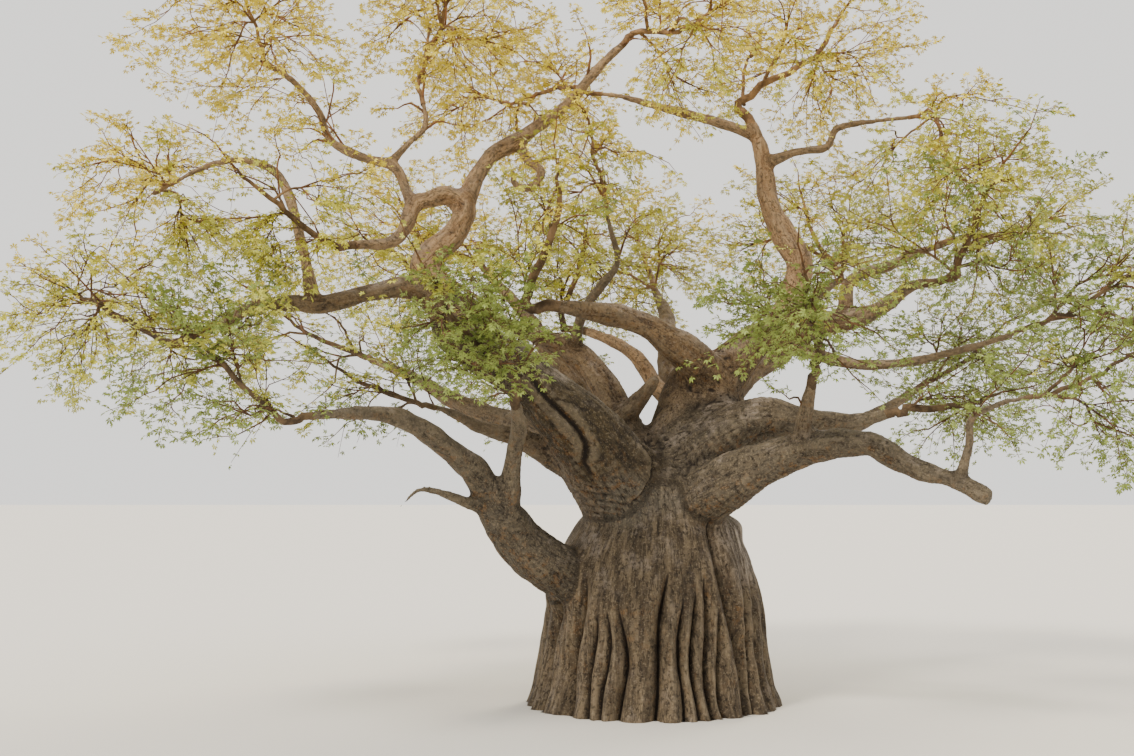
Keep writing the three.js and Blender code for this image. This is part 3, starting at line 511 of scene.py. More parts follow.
limb_grain = np.stack([across, upward, 0.22 * along], axis=1)
profile = lengths_along(np.stack([trunk_rings[:, 1], trunk_rings[:, 0], 0 * trunk_rings[:, 0]], axis=1))
down_trunk = np.interp(height, trunk_rings[:, 0], profile)
trunk_grain = np.stack([2.4 * np.cos(turn), 2.4 * np.sin(turn), 0.16 * down_trunk], axis=1)
grain = np.where(on_trunk[:, None] > 0.5, trunk_grain, limb_grain + 9.0)

# Long muscles, knobs, ring wrinkles where a limb bends, and cracks that run lengthwise. Heights in metres.
LUMP_HEIGHT = 0.040
KNOB_HEIGHT = 0.022
RING_HEIGHT = 0.008
CRACK_DEPTH = 0.022
ROPE_HEIGHT = 0.022
FIBRE_HEIGHT = 0.010
lumps = noise_at(points * 0.9, 1)
knobs = noise_at(points * 2.6, 2)
cracks = ridges_at(grain * 5.0, 5)
ring_places = np.clip(0.35 + 1.7 * noise_at(points * 0.6, 3), 0, 1) * (1 - on_trunk)
ring_step = np.clip(0.34 * radius, 0.09, 0.20)
rings = np.sin(2 * np.pi * along / ring_step + 2.5 * lumps)
stout = np.clip(radius / 0.4, 0.15, 1.15)
relief = folds + LUMP_HEIGHT * lumps * stout + KNOB_HEIGHT * knobs * stout
relief += RING_HEIGHT * rings * ring_places * stout
relief -= CRACK_DEPTH * smoothstep(cracks, 0.72, 1.0) * stout * (1 - 0.7 * on_trunk)
relief += ROPE_HEIGHT * on_trunk * noise_at(points * [2.4, 2.4, 0.5], 4)
relief += FIBRE_HEIGHT * on_trunk * noise_at(trunk_grain * 9.0, 6)

# The neck is ringed by fine wrinkles on the left.
WRINKLE_HEIGHT = 0.016
WRINKLE_STEP = 0.15
neck = np.minimum(1.6 * nearness(points, [-1.25, -1.3, 5.0], [0.75, 1.2, 0.50]), 1)
wrinkles = np.sin(2 * np.pi * (height + 0.12 * points[:, 0]) / WRINKLE_STEP + 1.2 * knobs)
relief += WRINKLE_HEIGHT * neck * wrinkles


def beside_line(places, corners):
    """How far each place lies from a line through corners, whether on its left, and how far along it."""
    near = np.full(len(places), 1e9)
    on_left = np.zeros(len(places), dtype=bool)
    through = np.zeros(len(places))
    for number, (start, end) in enumerate(zip(corners[:-1], corners[1:])):
        way = np.subtract(end, start)
        share = np.clip(((places - start) @ way) / (way @ way), 0, 1)
        off = places - start - share[:, None] * way
        gap = np.linalg.norm(off, axis=1)
        closer = gap < near
        near[closer] = gap[closer]
        on_left[closer] = off[closer] @ np.array([way[1], -way[0]]) > 0
        through[closer] = (number + share[closer]) / (len(corners) - 1)
    return near, on_left, through


# The great left bough has a wandering crease along its front. Its skin laps over the neck like a shield.
# Places are x and z as seen from the front.
BOUGH_CREASE = [(-3.00, 7.90), (-2.54, 7.31), (-2.09, 6.88), (-1.75, 6.50), (-1.62, 6.18), (-1.70, 5.80),
                (-1.44, 5.40)]
NECK_LAP = [(-0.75, 6.56), (-0.37, 6.27), (-0.09, 5.87), (-0.14, 5.50), (-0.33, 5.12), (-0.66, 4.78)]
CREASE_DEPTH = 0.15
LIP_HEIGHT = 0.05
LAP_HEIGHT = 0.060
front = points[:, [0, 2]]
facing = smoothstep(-points[:, 1], 0.5, 1.1)
gap, _, through = beside_line(front, BOUGH_CREASE)
relief -= CREASE_DEPTH * np.sqrt(np.sin(np.pi * through)) * np.exp(-(gap / 0.065) ** 2) * facing
relief += LIP_HEIGHT * np.sin(np.pi * through) * np.exp(-((gap - 0.22) / 0.14) ** 2) * facing
gap, on_left, through = beside_line(front, NECK_LAP)
lap = np.where(on_left, LAP_HEIGHT * np.exp(-(gap / 0.40) ** 2), -LAP_HEIGHT * np.exp(-(gap / 0.10) ** 2))
relief += lap * np.sin(np.pi * through) * facing

points = points + vectors_of(skin.vertices, "normal") * relief[:, None]
points[:, 2] = np.maximum(points[:, 2], 0.0)
set_points(skin, points)

# Hollows are told from ridges by how far a point lies under its own smoothed skin. The bark's colour is darkened
# in the hollows as painted shade.
DEEP_HOLLOW = 0.035
under_skin = (smoothed(points, 12, STRONG_SMOOTHING) - points) * vectors_of(skin.vertices, "normal")
hollow = np.clip(under_skin.sum(axis=1) / DEEP_HOLLOW, -1, 1)

# Where the smooth upper boughs are pale. The rest is grey-brown, and the great left bough is kept nearly at the
# dark ground colour as painted shade.
PALE_LIMBS = {
    "elbow_bough": 0.85, "top_centre_bough": 0.8, "upper_left_arm": 0.75, "upper_left_riser": 0.7,
    "left_bent_arm": 0.7, "pale_back_limb": 1.0, "s_bough": 0.9, "s_left_arm": 0.75, "s_step_arm": 0.5,
    "second_left_bough": 0.3, "low_left_limb": 0.10, "lowest_right_limb": 0.12, "great_left_bough": 0.02,
    "right_crown_column": 0.10, "upper_low_right_limb": 0.12, "low_left_upright": 0.12, "twisted_riser": 0.1,
}
pale_of = np.array([PALE_LIMBS.get(limb_name, 0.3) for limb_name in LIMBS])
pale = np.maximum(pale_of[line_limb[nearest]], 0.6 * smoothstep(height, 9.5, 15.0)) * (1 - on_trunk)
pale += on_trunk * np.exp(-((turn + 0.42) / 0.30) ** 2) * smoothstep(height, 2.6, 3.8)
pale = smoothed(pale[:, None], 3, 1.0)[:, 0]
grain = smoothed(grain, 3, 1.0)


def add_values(mesh, name, values):
    """Stores a number or a place at every point of a mesh."""
    values = np.ascontiguousarray(values, dtype=np.float32)
    kind = "FLOAT" if values.ndim == 1 else "FLOAT_VECTOR"
    layer = mesh.attributes.new(name, kind, "POINT")
    layer.data.foreach_set("value" if values.ndim == 1 else "vector", values.ravel())


# The neck and the low limbs are greyer, all but the great left bough, which is left dark as painted shade.
neck_grey = np.minimum(1.5 * nearness(points, [-0.75, -1.5, 4.95], [0.75, 1.2, 0.62]), 1)
grey_of = np.array([0.15 if limb_name == "great_left_bough" else 0.7 for limb_name in LIMBS])
low_limb_grey = grey_of[line_limb[nearest]] * (1 - on_trunk) * (1 - smoothstep(height, 6.5, 9.0))
grey = np.maximum(neck_grey, low_limb_grey)
grey = np.maximum(grey, 0.8 * on_trunk * smoothstep(height, 4.2, 5.0))
grey = smoothed(grey[:, None], 4, 1.0)[:, 0]
skin_values = {"hollow": hollow, "pale": pale, "grain": grain, "along": along,
               "trunk": np.maximum(on_trunk, neck_grey), "grey": grey}
for name, values in skin_values.items():
    add_values(skin, name, values)
skin.shade_smooth()

# The skin is parted into the trunk's and the boughs', and each is thinned where it is plain.
SKIN_TRIANGLES = 190000
TRUNK_TOP = 5.3
TRUNK_EDGE = 0.30        # how far out of the bell the trunk's skin goes
face_middles = vectors_of(skin.polygons, "center")
face_out, _ = bell_place(face_middles)
is_trunk_face = (face_middles[:, 2] < TRUNK_TOP) & (face_out < TRUNK_EDGE)


def part_of_skin(name, keep):
    """An object with the faces of the skin that are kept."""
    part = bmesh.new()
    part.from_mesh(skin)
    part.faces.ensure_lookup_table()
    dropped = [part.faces[k] for k in np.flatnonzero(~keep)]
    bmesh.ops.delete(part, geom=dropped, context="FACES")
    mesh = bpy.data.meshes.new(name)
    part.to_mesh(mesh)
    part.free()
    return new_object(name, mesh)


def triangle_count(mesh):
    return len(mesh.loops) - 2 * len(mesh.polygons)


trunk_bark = part_of_skin("trunk_bark", is_trunk_face)
bough_bark = part_of_skin("bough_bark", ~is_trunk_face)
for piece in (trunk_bark, bough_bark):
    if triangle_count(piece.data) <= SKIN_TRIANGLES:
        continue
    border = np.zeros(len(piece.data.vertices), dtype=bool)
    edge_of = bmesh.new()
    edge_of.from_mesh(piece.data)
    for edge in edge_of.edges:
        if edge.is_boundary:
            border[[edge.verts[0].index, edge.verts[1].index]] = True
    edge_of.free()
    thinned = piece.vertex_groups.new(name="thinned")
    thinned.add(np.flatnonzero(~border).tolist(), 1.0, "REPLACE")
    share = SKIN_TRIANGLES / triangle_count(piece.data)
    piece.data = with_modifier(piece, "DECIMATE", ratio=share, vertex_group="thinned",
                               vertex_group_factor=10.0)
    kept = vectors_of(piece.data.vertices, "co")
    kept[:, 2] = np.maximum(kept[:, 2], 0.0)
    set_points(piece.data, kept)


def linear(code):
    """A hex colour as shown on a screen, turned to the linear values that light is reckoned in."""
    values = [int(code[k:k + 2], 16) / 255 for k in (1, 3, 5)]
    return (*[v / 12.92 if v <= 0.04045 else ((v + 0.055) / 1.055) ** 2.4 for v in values], 1.0)


def new_material(name):
    made = bpy.data.materials.new(name)
    made.use_nodes = True
    made.node_tree.nodes.clear()
    return made


def add_node(tree, kind, inputs, output=0, **settings):
    """Adds a node, sets it up, fills its inputs with values or other nodes' outputs, and gives one output."""
    made = tree.nodes.new(kind)
    for key, value in settings.items():
        setattr(made, key, value)
    for key, value in inputs.items():
        if isinstance(value, bpy.types.NodeSocket):
            tree.links.new(value, made.inputs[key])
        else:
            made.inputs[key].default_value = value
    return made.outputs[output] if len(made.outputs) else made


# Bark of an old baobab: a grey-brown skin with a dull, slightly waxy face. Grooves and hollows are darkened
# as painted shade, pits and cracks are dark, ridges are paler and silvery, and faces that look up carry pale
# patches as a painted highlight. Undersides show the orange-brown layer below the grey.
# The smooth upper limbs are pale and tan.
living_bark = new_material("baobab bark, grey-brown and folded")
tree = living_bark.node_tree
place = add_node(tree, "ShaderNodeTexCoord", {}, "Object")
hollow_at, pale_at, along_at, trunk_at, grey_at = [
    add_node(tree, "ShaderNodeAttribute", {}, "Fac", attribute_name=name)
    for name in ("hollow", "pale", "along", "trunk", "grey")]
grain_at = add_node(tree, "ShaderNodeAttribute", {}, "Vector", attribute_name="grain")
facing_way = add_node(tree, "ShaderNodeNewGeometry", {}, "Normal")
faces_up = add_node(tree, "ShaderNodeSeparateXYZ", {0: facing_way}, "Z")

PATCH_SIZE = 0.55        # lichen and weather stains, in metres
STREAK_SIZE = 0.070      # fibres that run along the limb
PIT_SIZE = 0.045         # pits and flakes
RING_SIZE = 0.085        # fine rings round a limb
# What each pattern is laid by, its scale, its detail and its roughness.
PATTERNS = [
    (place, 1 / PATCH_SIZE, 7.0, 0.66),
    (place, 5.2, 8.0, 0.78),
    (grain_at, 7.0, 3.0, 0.55),
    (place, 23.0, 2.0, 0.5),
    (grain_at, 0.5 / STREAK_SIZE, 7.0, 0.68),
    (place, 0.5 / PIT_SIZE, 5.0, 0.72),
    (grain_at, 26.0, 6.0, 0.75),
]
patches, rust_noise, crack_noise, flecks, streaks, pits, fine_bark = [
    add_node(tree, "ShaderNodeTexNoise", {"Vector": where, "Scale": scale, "Detail": detail,
                                          "Roughness": roughness})
    for where, scale, detail, roughness in PATTERNS]

# Each ground colour runs in streaks: where they start and end, the dark and the light.
STREAKED = [
    (0.36, 0.64, "#382e22", "#6a5c48"),     # trunk
    (0.42, 0.60, "#42382d", "#a1958a"),     # the trunk's silvery rope
    # The boughs' ground colour is dark, darkened in part as painted shade.
    (0.36, 0.64, "#1f180d", "#3f3520"),     # boughs
    (0.30, 0.62, "#765638", "#bb9870"),     # smooth upper boughs
]
shades = []
for low, high, dark, light in STREAKED:
    share = add_node(tree, "ShaderNodeMapRange", {0: streaks, 1: low, 2: high},
                     interpolation_type="SMOOTHSTEP")
    shades.append(add_node(tree, "ShaderNodeMix", {0: share, 6: linear(dark), 7: linear(light)}, 2,
                           data_type="RGBA"))
trunk_colour = add_node(tree, "ShaderNodeMix", {0: pale_at, 6: shades[0], 7: shades[1]}, 2, data_type="RGBA")
limb_colour = add_node(tree, "ShaderNodeMix", {0: pale_at, 6: shades[2], 7: shades[3]}, 2, data_type="RGBA")
colour = add_node(tree, "ShaderNodeMix", {0: trunk_at, 6: limb_colour, 7: trunk_colour}, 2, data_type="RGBA")

# Painted highlight: the share of pale patches grows on faces that look up, where the light falls.
top_light_share = add_node(tree, "ShaderNodeMapRange", {0: faces_up, 1: -0.1, 2: 0.9, 4: 0.60},
                    interpolation_type="SMOOTHSTEP")
under_share = add_node(tree, "ShaderNodeMapRange", {0: faces_up, 1: 0.40, 2: -0.5, 4: 0.62},
                       interpolation_type="SMOOTHSTEP")
speck_share = add_node(tree, "ShaderNodeMath", {0: trunk_at, 1: -0.16, 2: 0.32}, operation="MULTIPLY_ADD")
crack_line = add_node(tree, "ShaderNodeMath", {0: crack_noise, 1: 0.5, 2: 0.014}, operation="COMPARE")

# Over them lie stains, painted shade in the hollows and a painted highlight on faces that look up: where each
# lies, where it starts and is full, how strong it is, and its colour.
STAINS_AND_PAINTED_LIGHT = [
    (grey_at, 0.0, 1.0, 0.62, "#5a564d"),
    # Pale lichen and weather patches, shown on faces that look up as a painted highlight.
    (patches, 0.48, 0.66, top_light_share, "#a3968a"),
    (rust_noise, 0.50, 0.62, under_share, "#755026"),
    (pits, 0.54, 0.66, 0.64, "#1d160f"),
    (pits, 0.42, 0.30, 0.34, "#87795f"),
    (crack_line, 0.0, 1.0, 0.60, "#1d160f"),
    (flecks, 0.56, 0.66, speck_share, "#2a2016"),
    (flecks, 0.42, 0.34, 0.24, "#a3937a"),
    # Painted shade: the hollows are darkened. The ridges are made a little paler.
    (hollow_at, 0.05, 0.65, 0.88, "#1c1510"),
    (hollow_at, -0.10, -0.80, 0.30, "#94866f"),
]
for where, begins, full, strength, code in STAINS_AND_PAINTED_LIGHT:
    share = add_node(tree, "ShaderNodeMapRange", {0: where, 1: begins, 2: full, 4: strength},
                     interpolation_type="SMOOTHSTEP")
    colour = add_node(tree, "ShaderNodeMix", {0: share, 6: colour, 7: linear(code)}, 2, data_type="RGBA")

ring_waver = add_node(tree, "ShaderNodeMath", {0: patches, 1: 16.0}, operation="MULTIPLY")
ring_turn = add_node(tree, "ShaderNodeMath", {0: along_at, 1: 2 * math.pi / RING_SIZE, 2: ring_waver},
                     operation="MULTIPLY_ADD")
ring_wave = add_node(tree, "ShaderNodeMath", {0: ring_turn}, operation="SINE")
pit_depth = add_node(tree, "ShaderNodeMapRange", {0: pits, 1: 0.52, 2: 0.72}, interpolation_type="SMOOTHSTEP")
bark_height = streaks
for what, amount in ((ring_wave, 0.035), (fine_bark, 0.45), (pit_depth, -0.40), (crack_line, -0.10)):
    bark_height = add_node(tree, "ShaderNodeMath", {0: what, 1: amount, 2: bark_height},
                           operation="MULTIPLY_ADD")
raised = add_node(tree, "ShaderNodeBump", {"Strength": 0.9, "Distance": 0.075, "Height": bark_height},
                  "Normal")
surface = add_node(tree, "ShaderNodeBsdfPrincipled", {"Base Color": colour, "Roughness": 0.78,
                                                      "Normal": raised, "Specular IOR Level": 0.32})
add_node(tree, "ShaderNodeOutputMaterial", {"Surface": surface})


def stands_for(piece, material, nodes):
    """Gives a piece its material, hangs it on the root body, and hides the nodes it stands for."""
    piece.data.materials.append(material)
    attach(piece, "root")
    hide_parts(*nodes)


stands_for(trunk_bark, living_bark, ["trunk"])
stands_for(bough_bark, living_bark, LIMBS)


# The twigs
# Each foliage mass grows from the tip of one bough: a stem that bends to the middle of its own space, twigs
# that reach for places spread evenly round it, and finer and finer twigs on those, down to leafy shoots.
# They are thin red-brown wood, made as tapering tubes that are joined into three pieces.

FLATNESS = 0.78
MASSES = {
    "foliage_low_left": ("low_left_limb", (-9.2, -6.6, 7.9), 2.9),
    "foliage_front_left": ("low_left_upright", (-4.4, -6.0, 8.7), 2.7),
    "foliage_left_middle": ("left_middle_limb", (-6.7, -2.9, 7.6), 2.3),
    "foliage_far_left_low": ("left_lower_limb", (-11.7, -4.6, 8.9), 3.2),
    "foliage_left_front": ("elbow_bough", (-8.3, -4.9, 11.3), 3.0),
    "foliage_top_centre": ("top_centre_bough", (0.6, -1.6, 16.2), 3.5),
    "foliage_top_left": ("upper_left_arm", (-9.2, -2.7, 15.5), 3.7),
    "foliage_top_left_inner": ("upper_left_riser", (-5.0, -1.8, 16.6), 3.6),
    "foliage_far_left": ("left_bent_arm", (-11.3, -2.5, 12.3), 3.2),
    "foliage_left_inner": ("second_left_bough", (-5.9, 3.2, 10.9), 3.2),
    "foliage_centre": ("twisted_riser", (-1.4, -1.2, 13.2), 2.7),
    "foliage_centre_back": ("pale_back_limb", (-1.6, 5.0, 11.9), 3.0),
    "foliage_front_centre": ("crossing_limb", (-2.3, -3.4, 11.3), 2.4),
    "foliage_right_front": ("upper_right_limb", (6.9, -4.4, 11.2), 3.2),
    "foliage_top_right": ("s_bough", (4.4, 1.6, 16.6), 3.5),
    "foliage_top_back": ("s_left_arm", (-3.6, 4.2, 16.0), 3.6),
    "foliage_high_right": ("s_step_arm", (7.7, 0.5, 13.4), 3.3),
    "foliage_right_low": ("upper_low_right_limb", (7.5, -1.2, 7.2), 2.3),
    "foliage_right_low_front": ("right_hook_limb", (8.7, -6.2, 7.5), 3.1),
    "foliage_front_right": ("low_right_upright", (2.9, -5.9, 8.8), 2.8),
    "foliage_far_right": ("right_mid_limb", (10.4, -3.0, 9.8), 3.2),
    "foliage_right_upper": ("right_upper_limb", (9.7, 1.6, 11.8), 3.1),
    "foliage_back_left_low": ("back_left_low_bough", (-9.7, 6.4, 9.8), 3.4),
    "foliage_back_left_high": ("back_left_high_bough", (-6.6, 8.0, 13.0), 3.6),
    "foliage_back_middle": ("back_middle_bough", (0.3, 9.2, 12.6), 3.6),
    "foliage_back_right_high": ("back_right_high_bough", (5.3, 6.6, 12.6), 3.8),
    "foliage_back_right_low": ("back_right_low_bough", (9.9, 6.2, 9.2), 3.4),
    "foliage_back_low": ("back_low_bough", (-3.2, 9.8, 8.6), 3.2),
}
GOLDEN_TURN = math.pi * (3 - math.sqrt(5))
STEM_GIRTH_SHARE = 0.92
STEM_END_GIRTH = 0.06
STEM_PLACES = 10
TWIGS_PER_REACH = 1.75
TWIG_END_GIRTH = 0.05
TWIG_GIRTH_PER_LENGTH = 0.03
SHORTEST_TWIG = 0.45
SPRAY_LENGTH = 1.9
SPRAY_WIDTH_SHARE = 0.58
SPRAY_THICKNESS = 0.07
SIDE_SPRAY_SHARE = 0.85
SIDE_SPRAY_SINK = 0.05
KEEP_OFF = 0.03          # from limbs and from the next space
PAST_THE_BOX = 0.22      # how far a leaf may stand past the solids' own box
HEADING_COST = 1.7       # a twig leaves where its parent already heads its way

mass_names = list(MASSES)
centres = np.array([mass[1] for mass in MASSES.values()])
reaches = np.array([mass[2] for mass in MASSES.values()])


def seeded(seed):
    """A repeatable stream of numbers from 0 to 1."""
    state = [seed]

    def draw():
        state[0] = (state[0] * 1664525 + 1013904223) & 0xFFFFFFFF
        return state[0] / 4294967296
    return draw


def in_space(number, places, share=1.0):
    """Whether each place is in a mass's own space: within its reach and on its side of every neighbour."""
    places = np.atleast_2d(places)
    away = (places - centres[number]) / [1, 1, FLATNESS]
    inside = (away ** 2).sum(axis=1) <= (share * reaches[number]) ** 2
    power = ((places[:, None, :] - centres[None]) ** 2).sum(axis=2) - reaches ** 2
    margin = 2 * KEEP_OFF * np.linalg.norm(centres - centres[number], axis=1)
    ahead = power[:, [number]] + margin < power
    ahead[:, number] = True
    in_box = (places > np.array(cad_box[0]) - PAST_THE_BOX) & (places < np.array(cad_box[1]) + PAST_THE_BOX)
    return inside & ahead.all(axis=1) & in_box.all(axis=1)


def gaps_between(a, b, c, d):
    """The shortest way between straight pieces a-b and c-d, for whole arrays of them."""
    u, v, w = b - a, d - c, a - c
    uu, uv, vv = (u * u).sum(-1), (u * v).sum(-1), (v * v).sum(-1)
    uw, vw = (u * w).sum(-1), (v * w).sum(-1)
    whole = uu * vv - uv * uv
    s = np.where(whole > 1e-9, np.clip((uv * vw - vv * uw) / np.maximum(whole, 1e-9), 0, 1), 0)
    t = np.clip((uv * s + vw) / np.maximum(vv, 1e-12), 0, 1)
    s = np.clip((uv * t - uw) / np.maximum(uu, 1e-12), 0, 1)
    return np.linalg.norm(a + u * s[..., None] - c - v * t[..., None], axis=-1)


def is_clear(owner, a, b, radius, grows_on=""):
    """Whether each straight piece a-b keeps off every limb and stem but its own and the one it grows on."""
    a, b = np.atleast_2d(a), np.atleast_2d(b)
    others = (obstacle_owner != owner) & (obstacle_owner != grows_on)
    gap = gaps_between(a[:, None], b[:, None], obstacle_start[others][None], obstacle_end[others][None])
    return (gap > obstacle_radius[others] + radius + KEEP_OFF).all(axis=1)


def stem_rows(name):
    """The stem carries on from the bough's tip, bends to the middle of the space and runs on through it."""
    source, centre, reach = MASSES[name]
    centre = np.array(centre)
    tip = limb_rows[source]
    ahead = headings(tip)[-1]
    start = tip[-1, :3] + CLEARANCE * ahead
    far = np.linalg.norm(centre - start)
    onward = unit(centre - start)
    girth = tip[-1, 3] * STEM_GIRTH_SHARE
    return np.array([
        [*start, girth],
        [*(start + 0.3 * far * ahead), girth * 0.75 + STEM_END_GIRTH * 0.25],
        [*centre, girth * 0.4 + STEM_END_GIRTH * 0.6],
        [*(centre + onward * 0.36 * reach + [0, 0, 0.1 * reach]), STEM_END_GIRTH],
    ])


# Every limb and stem is in the way of the others' twigs: whose it is, its straight pieces and their radius.
stems = {name: stem_rows(name) for name in MASSES}
stem_lines = {name: [rows] for name, rows in stems.items()}
obstacles = []
for name, lines in {**limb_lines, **stem_lines}.items():
    for rows in lines:
        for a, b in zip(rows[:-1], rows[1:]):
            obstacles.append((name, a[:3], b[:3], max(a[3], b[3]) / 2))
obstacle_owner, obstacle_start, obstacle_end, obstacle_radius = [
    np.array(column) for column in zip(*obstacles)]


def stem_places(stem):
    """Places along a stem where a twig may leave it, and the stem's heading there."""
    out = []
    for i in range(STEM_PLACES):
        place_along = 0.45 + (len(stem) - 1.5) * i / (STEM_PLACES - 1)
        span = min(int(place_along), len(stem) - 2)
        row = stem[span] + (stem[span + 1] - stem[span]) * (place_along - span)
        out.append((row, unit(stem[span + 1, :3] - stem[span, :3])))
    return out


def flat_frame(heading, roll):
    """The ridge and edge directions of a flat spray."""
    lift = unit(np.array([0, 0, 1]) - heading * heading[2])
    side = np.cross(heading, lift)
    ridge = lift * math.cos(roll) + side * math.sin(roll)
    return ridge, np.cross(heading, ridge)


def turned(way, angle):
    c, s = math.cos(angle), math.sin(angle)
    return np.array([way[0] * c - way[1] * s, way[0] * s + way[1] * c, way[2]])


# As seen from the front, by x and z: the sky shows through some thin places, leaves stand thick in a few
# clusters, where they are painted deeper green as painted shade, and most limbs stand clear of the leaves.
EYE = np.array([-2.07, -35.0, 5.2])
SHARE_KEPT_OUT = 0.7
BESIDE_A_LIMB = 0.12     # how far beside a limb a spray still hides it
SKY_GAPS = [
    (1.9, 13.8, 0.6), (2.6, 14.6, 0.6), (-9.4, 13.0, 0.9),
    (-8.4, 8.7, 1.1), (-7.3, 8.1, 0.8), (-4.4, 10.4, 0.4),
]
THICK_CLUSTERS = [(-10.6, 10.4, 1.8), (-4.5, 9.4, 1.9), (3.8, 9.3, 1.5), (1.5, 9.9, 1.0)]
LIMBS_IN_VIEW = [
    "elbow_bough", "left_bent_arm", "top_centre_bough", "s_bough", "s_left_arm", "s_step_arm", "twisted_riser",
    "pale_back_limb", "left_lower_limb", "right_mid_limb", "low_left_limb",
]
view_rows = np.vstack([smooth_rows(limb_rows[name], 5) for name in LIMBS_IN_VIEW])
gap_draw = np.random.default_rng(77)


def in_circles(places, circles):
    """Whether each place is seen from the front inside one of the circles."""
    way = np.atleast_2d(places) - EYE
    seen = EYE + way * (-EYE[1] / way[:, 1:2])
    inside = np.zeros(len(way), dtype=bool)
    for x, z, radius in circles:
        inside |= np.hypot(seen[:, 0] - x, seen[:, 2] - z) < radius
    return inside


def stands_open(middle, tip):
    """Whether a spray may grow here: seldom in a thin place, and seldom in front of a limb that shows."""
    chance = gap_draw.random()
    if chance > SHARE_KEPT_OUT or (in_circles(tip, THICK_CLUSTERS)[0] and tip[1] < 0):
        return True
    if in_circles([middle, tip], SKY_GAPS).any():
        return False
    for place in (middle, tip):
        way = place - EYE
        across = view_rows[:, :3] - EYE
        far = across @ unit(way)
        aside = np.linalg.norm(across - far[:, None] * unit(way), axis=1)
        hides = (far > np.linalg.norm(way)) & (aside < view_rows[:, 3] / 2 + BESIDE_A_LIMB)
        if hides.any():
            return False
    return True


def spray_fits(number, root, heading, roll, length):
    tip = root + heading * length
    ridge, edge = flat_frame(heading, roll)
    widest = root + heading * 0.45 * length
    half = length * SPRAY_WIDTH_SHARE / 2
    corners = np.array([widest + ridge * SPRAY_THICKNESS, widest + edge * half, widest - edge * half, tip])
    if not stands_open(widest, tip):
        return False
    return in_space(number, corners, 1.08).all() and is_clear(mass_names[number], root, tip, half)[0]


def first_twigs(number):
    """The mass's stem, its first twigs and its main sprays: root, heading, roll, length, girth, mass."""
    name = mass_names[number]
    draw = seeded(11 + 17 * number)
    stem = stems[name]
    centre, reach = centres[number], reaches[number]
    places = stem_places(stem)
    count = int(TWIGS_PER_REACH * reach + 0.5)
    first_turn = draw() * 2 * math.pi
    lines = []
    sprays = [(stem[-1, :3], places[-1][1], 0.0, SPRAY_LENGTH, STEM_END_GIRTH, number)]
    for k in range(count):
        level = 1 - (2 * k + 1) / count
        spin = first_turn + k * GOLDEN_TURN
        flat = math.sqrt(1 - level * level)
        out = reach * (0.88 + 0.1 * draw())
        aim = np.array([out * flat * math.cos(spin), out * flat * math.sin(spin), out * level * FLATNESS])
        bow = np.array([0.2 * (draw() - 0.5), 0.2 * (draw() - 0.5), 0.08 + 0.1 * draw()])
        droop = 0.3 * (draw() - 0.6)
        roll = 1.9 * (draw() - 0.5)
        swing = (-1 if draw() < 0.5 else 1) * (0.9 + 0.4 * draw())
        for share in (1, 0.84, 0.68, 0.52):
            tip = centre + aim * share
            options = []
            for row, ahead in places:
                way = tip - row[:3]
                far = np.linalg.norm(way)
                if far > SPRAY_LENGTH + SHORTEST_TWIG:
                    cost = far * (HEADING_COST - way @ ahead / far)
                    options.append((cost, len(options), row, ahead, way))
            if not options:
                continue
            _, _, row, ahead, way = min(options)
            heading = unit(unit(way) + [0, 0, droop])
            root = tip - heading * SPRAY_LENGTH
            start = row[:3]
            length = np.linalg.norm(root - start)
            middle = (start + root) / 2 + (bow + 0.1 * ahead) * length
            clear = is_clear(name, [start, middle], [middle, root], 0.05).all()
            if not (clear and in_space(number, [root, middle]).all()
                    and spray_fits(number, root, heading, roll, SPRAY_LENGTH)):
                continue
            girth = min(row[3] * 0.8, TWIG_END_GIRTH + TWIG_GIRTH_PER_LENGTH * length)
            lines.append(np.array([[*start, girth], [*middle, girth * 0.75], [*root, TWIG_END_GIRTH]]))
            sprays.append((root, heading, roll, SPRAY_LENGTH, TWIG_END_GIRTH, number))
            side_length = SPRAY_LENGTH * SIDE_SPRAY_SHARE
            for angle in (swing, -swing):
                side_way = turned(unit(heading * [1, 1, 0.5]), angle)
                at = middle * 0.45 + root * 0.55
                if spray_fits(number, at - side_way * SIDE_SPRAY_SINK, side_way, -roll, side_length):
                    sprays.append((at, side_way, -roll, side_length, 0.035, number))
                    break
            break
    return lines, sprays


# Finer twigs fill the rest of the space. Each reaches for a place of its own from the handiest older twig, or
# from the outer half of the bough itself.
SPRAYS_PER_CUBIC_METRE = 0.80
THICKER = 1.2            # further sprays in a thick cluster, as a share of the usual
FINE_SPRAY = (0.75, 1.25)
FINE_TWIG_GIRTH = 0.036
FINE_GIRTH_PER_LENGTH = 0.022
TOO_NEAR = 0.4           # a tip this near to an older twig needs no twig of its own
LEAST_STEP = 0.55        # a twig seldom starts from a place this near to its tip
LIMB_MARGIN = 0.06
GENERAL_GOLDEN = 1.2207440846    # solves g ** 4 = g + 1, and spreads places evenly in three directions


def even_places(number, count, shift=0.0):
    """Places spread evenly through a mass's ellipsoid."""
    steps = np.arange(count)[:, None] + 0.5
    shares = (shift + 0.37 * number + steps / GENERAL_GOLDEN ** np.array([1, 2, 3])) % 1
    out = 0.97 * shares[:, 0] ** (1 / 3)
    level = 1 - 2 * shares[:, 1]
    flat = np.sqrt(1 - level ** 2)
    spin = 2 * np.pi * shares[:, 2]
    way = np.stack([flat * np.cos(spin), flat * np.sin(spin), level * FLATNESS], axis=1)
    return centres[number] + reaches[number] * out[:, None] * way


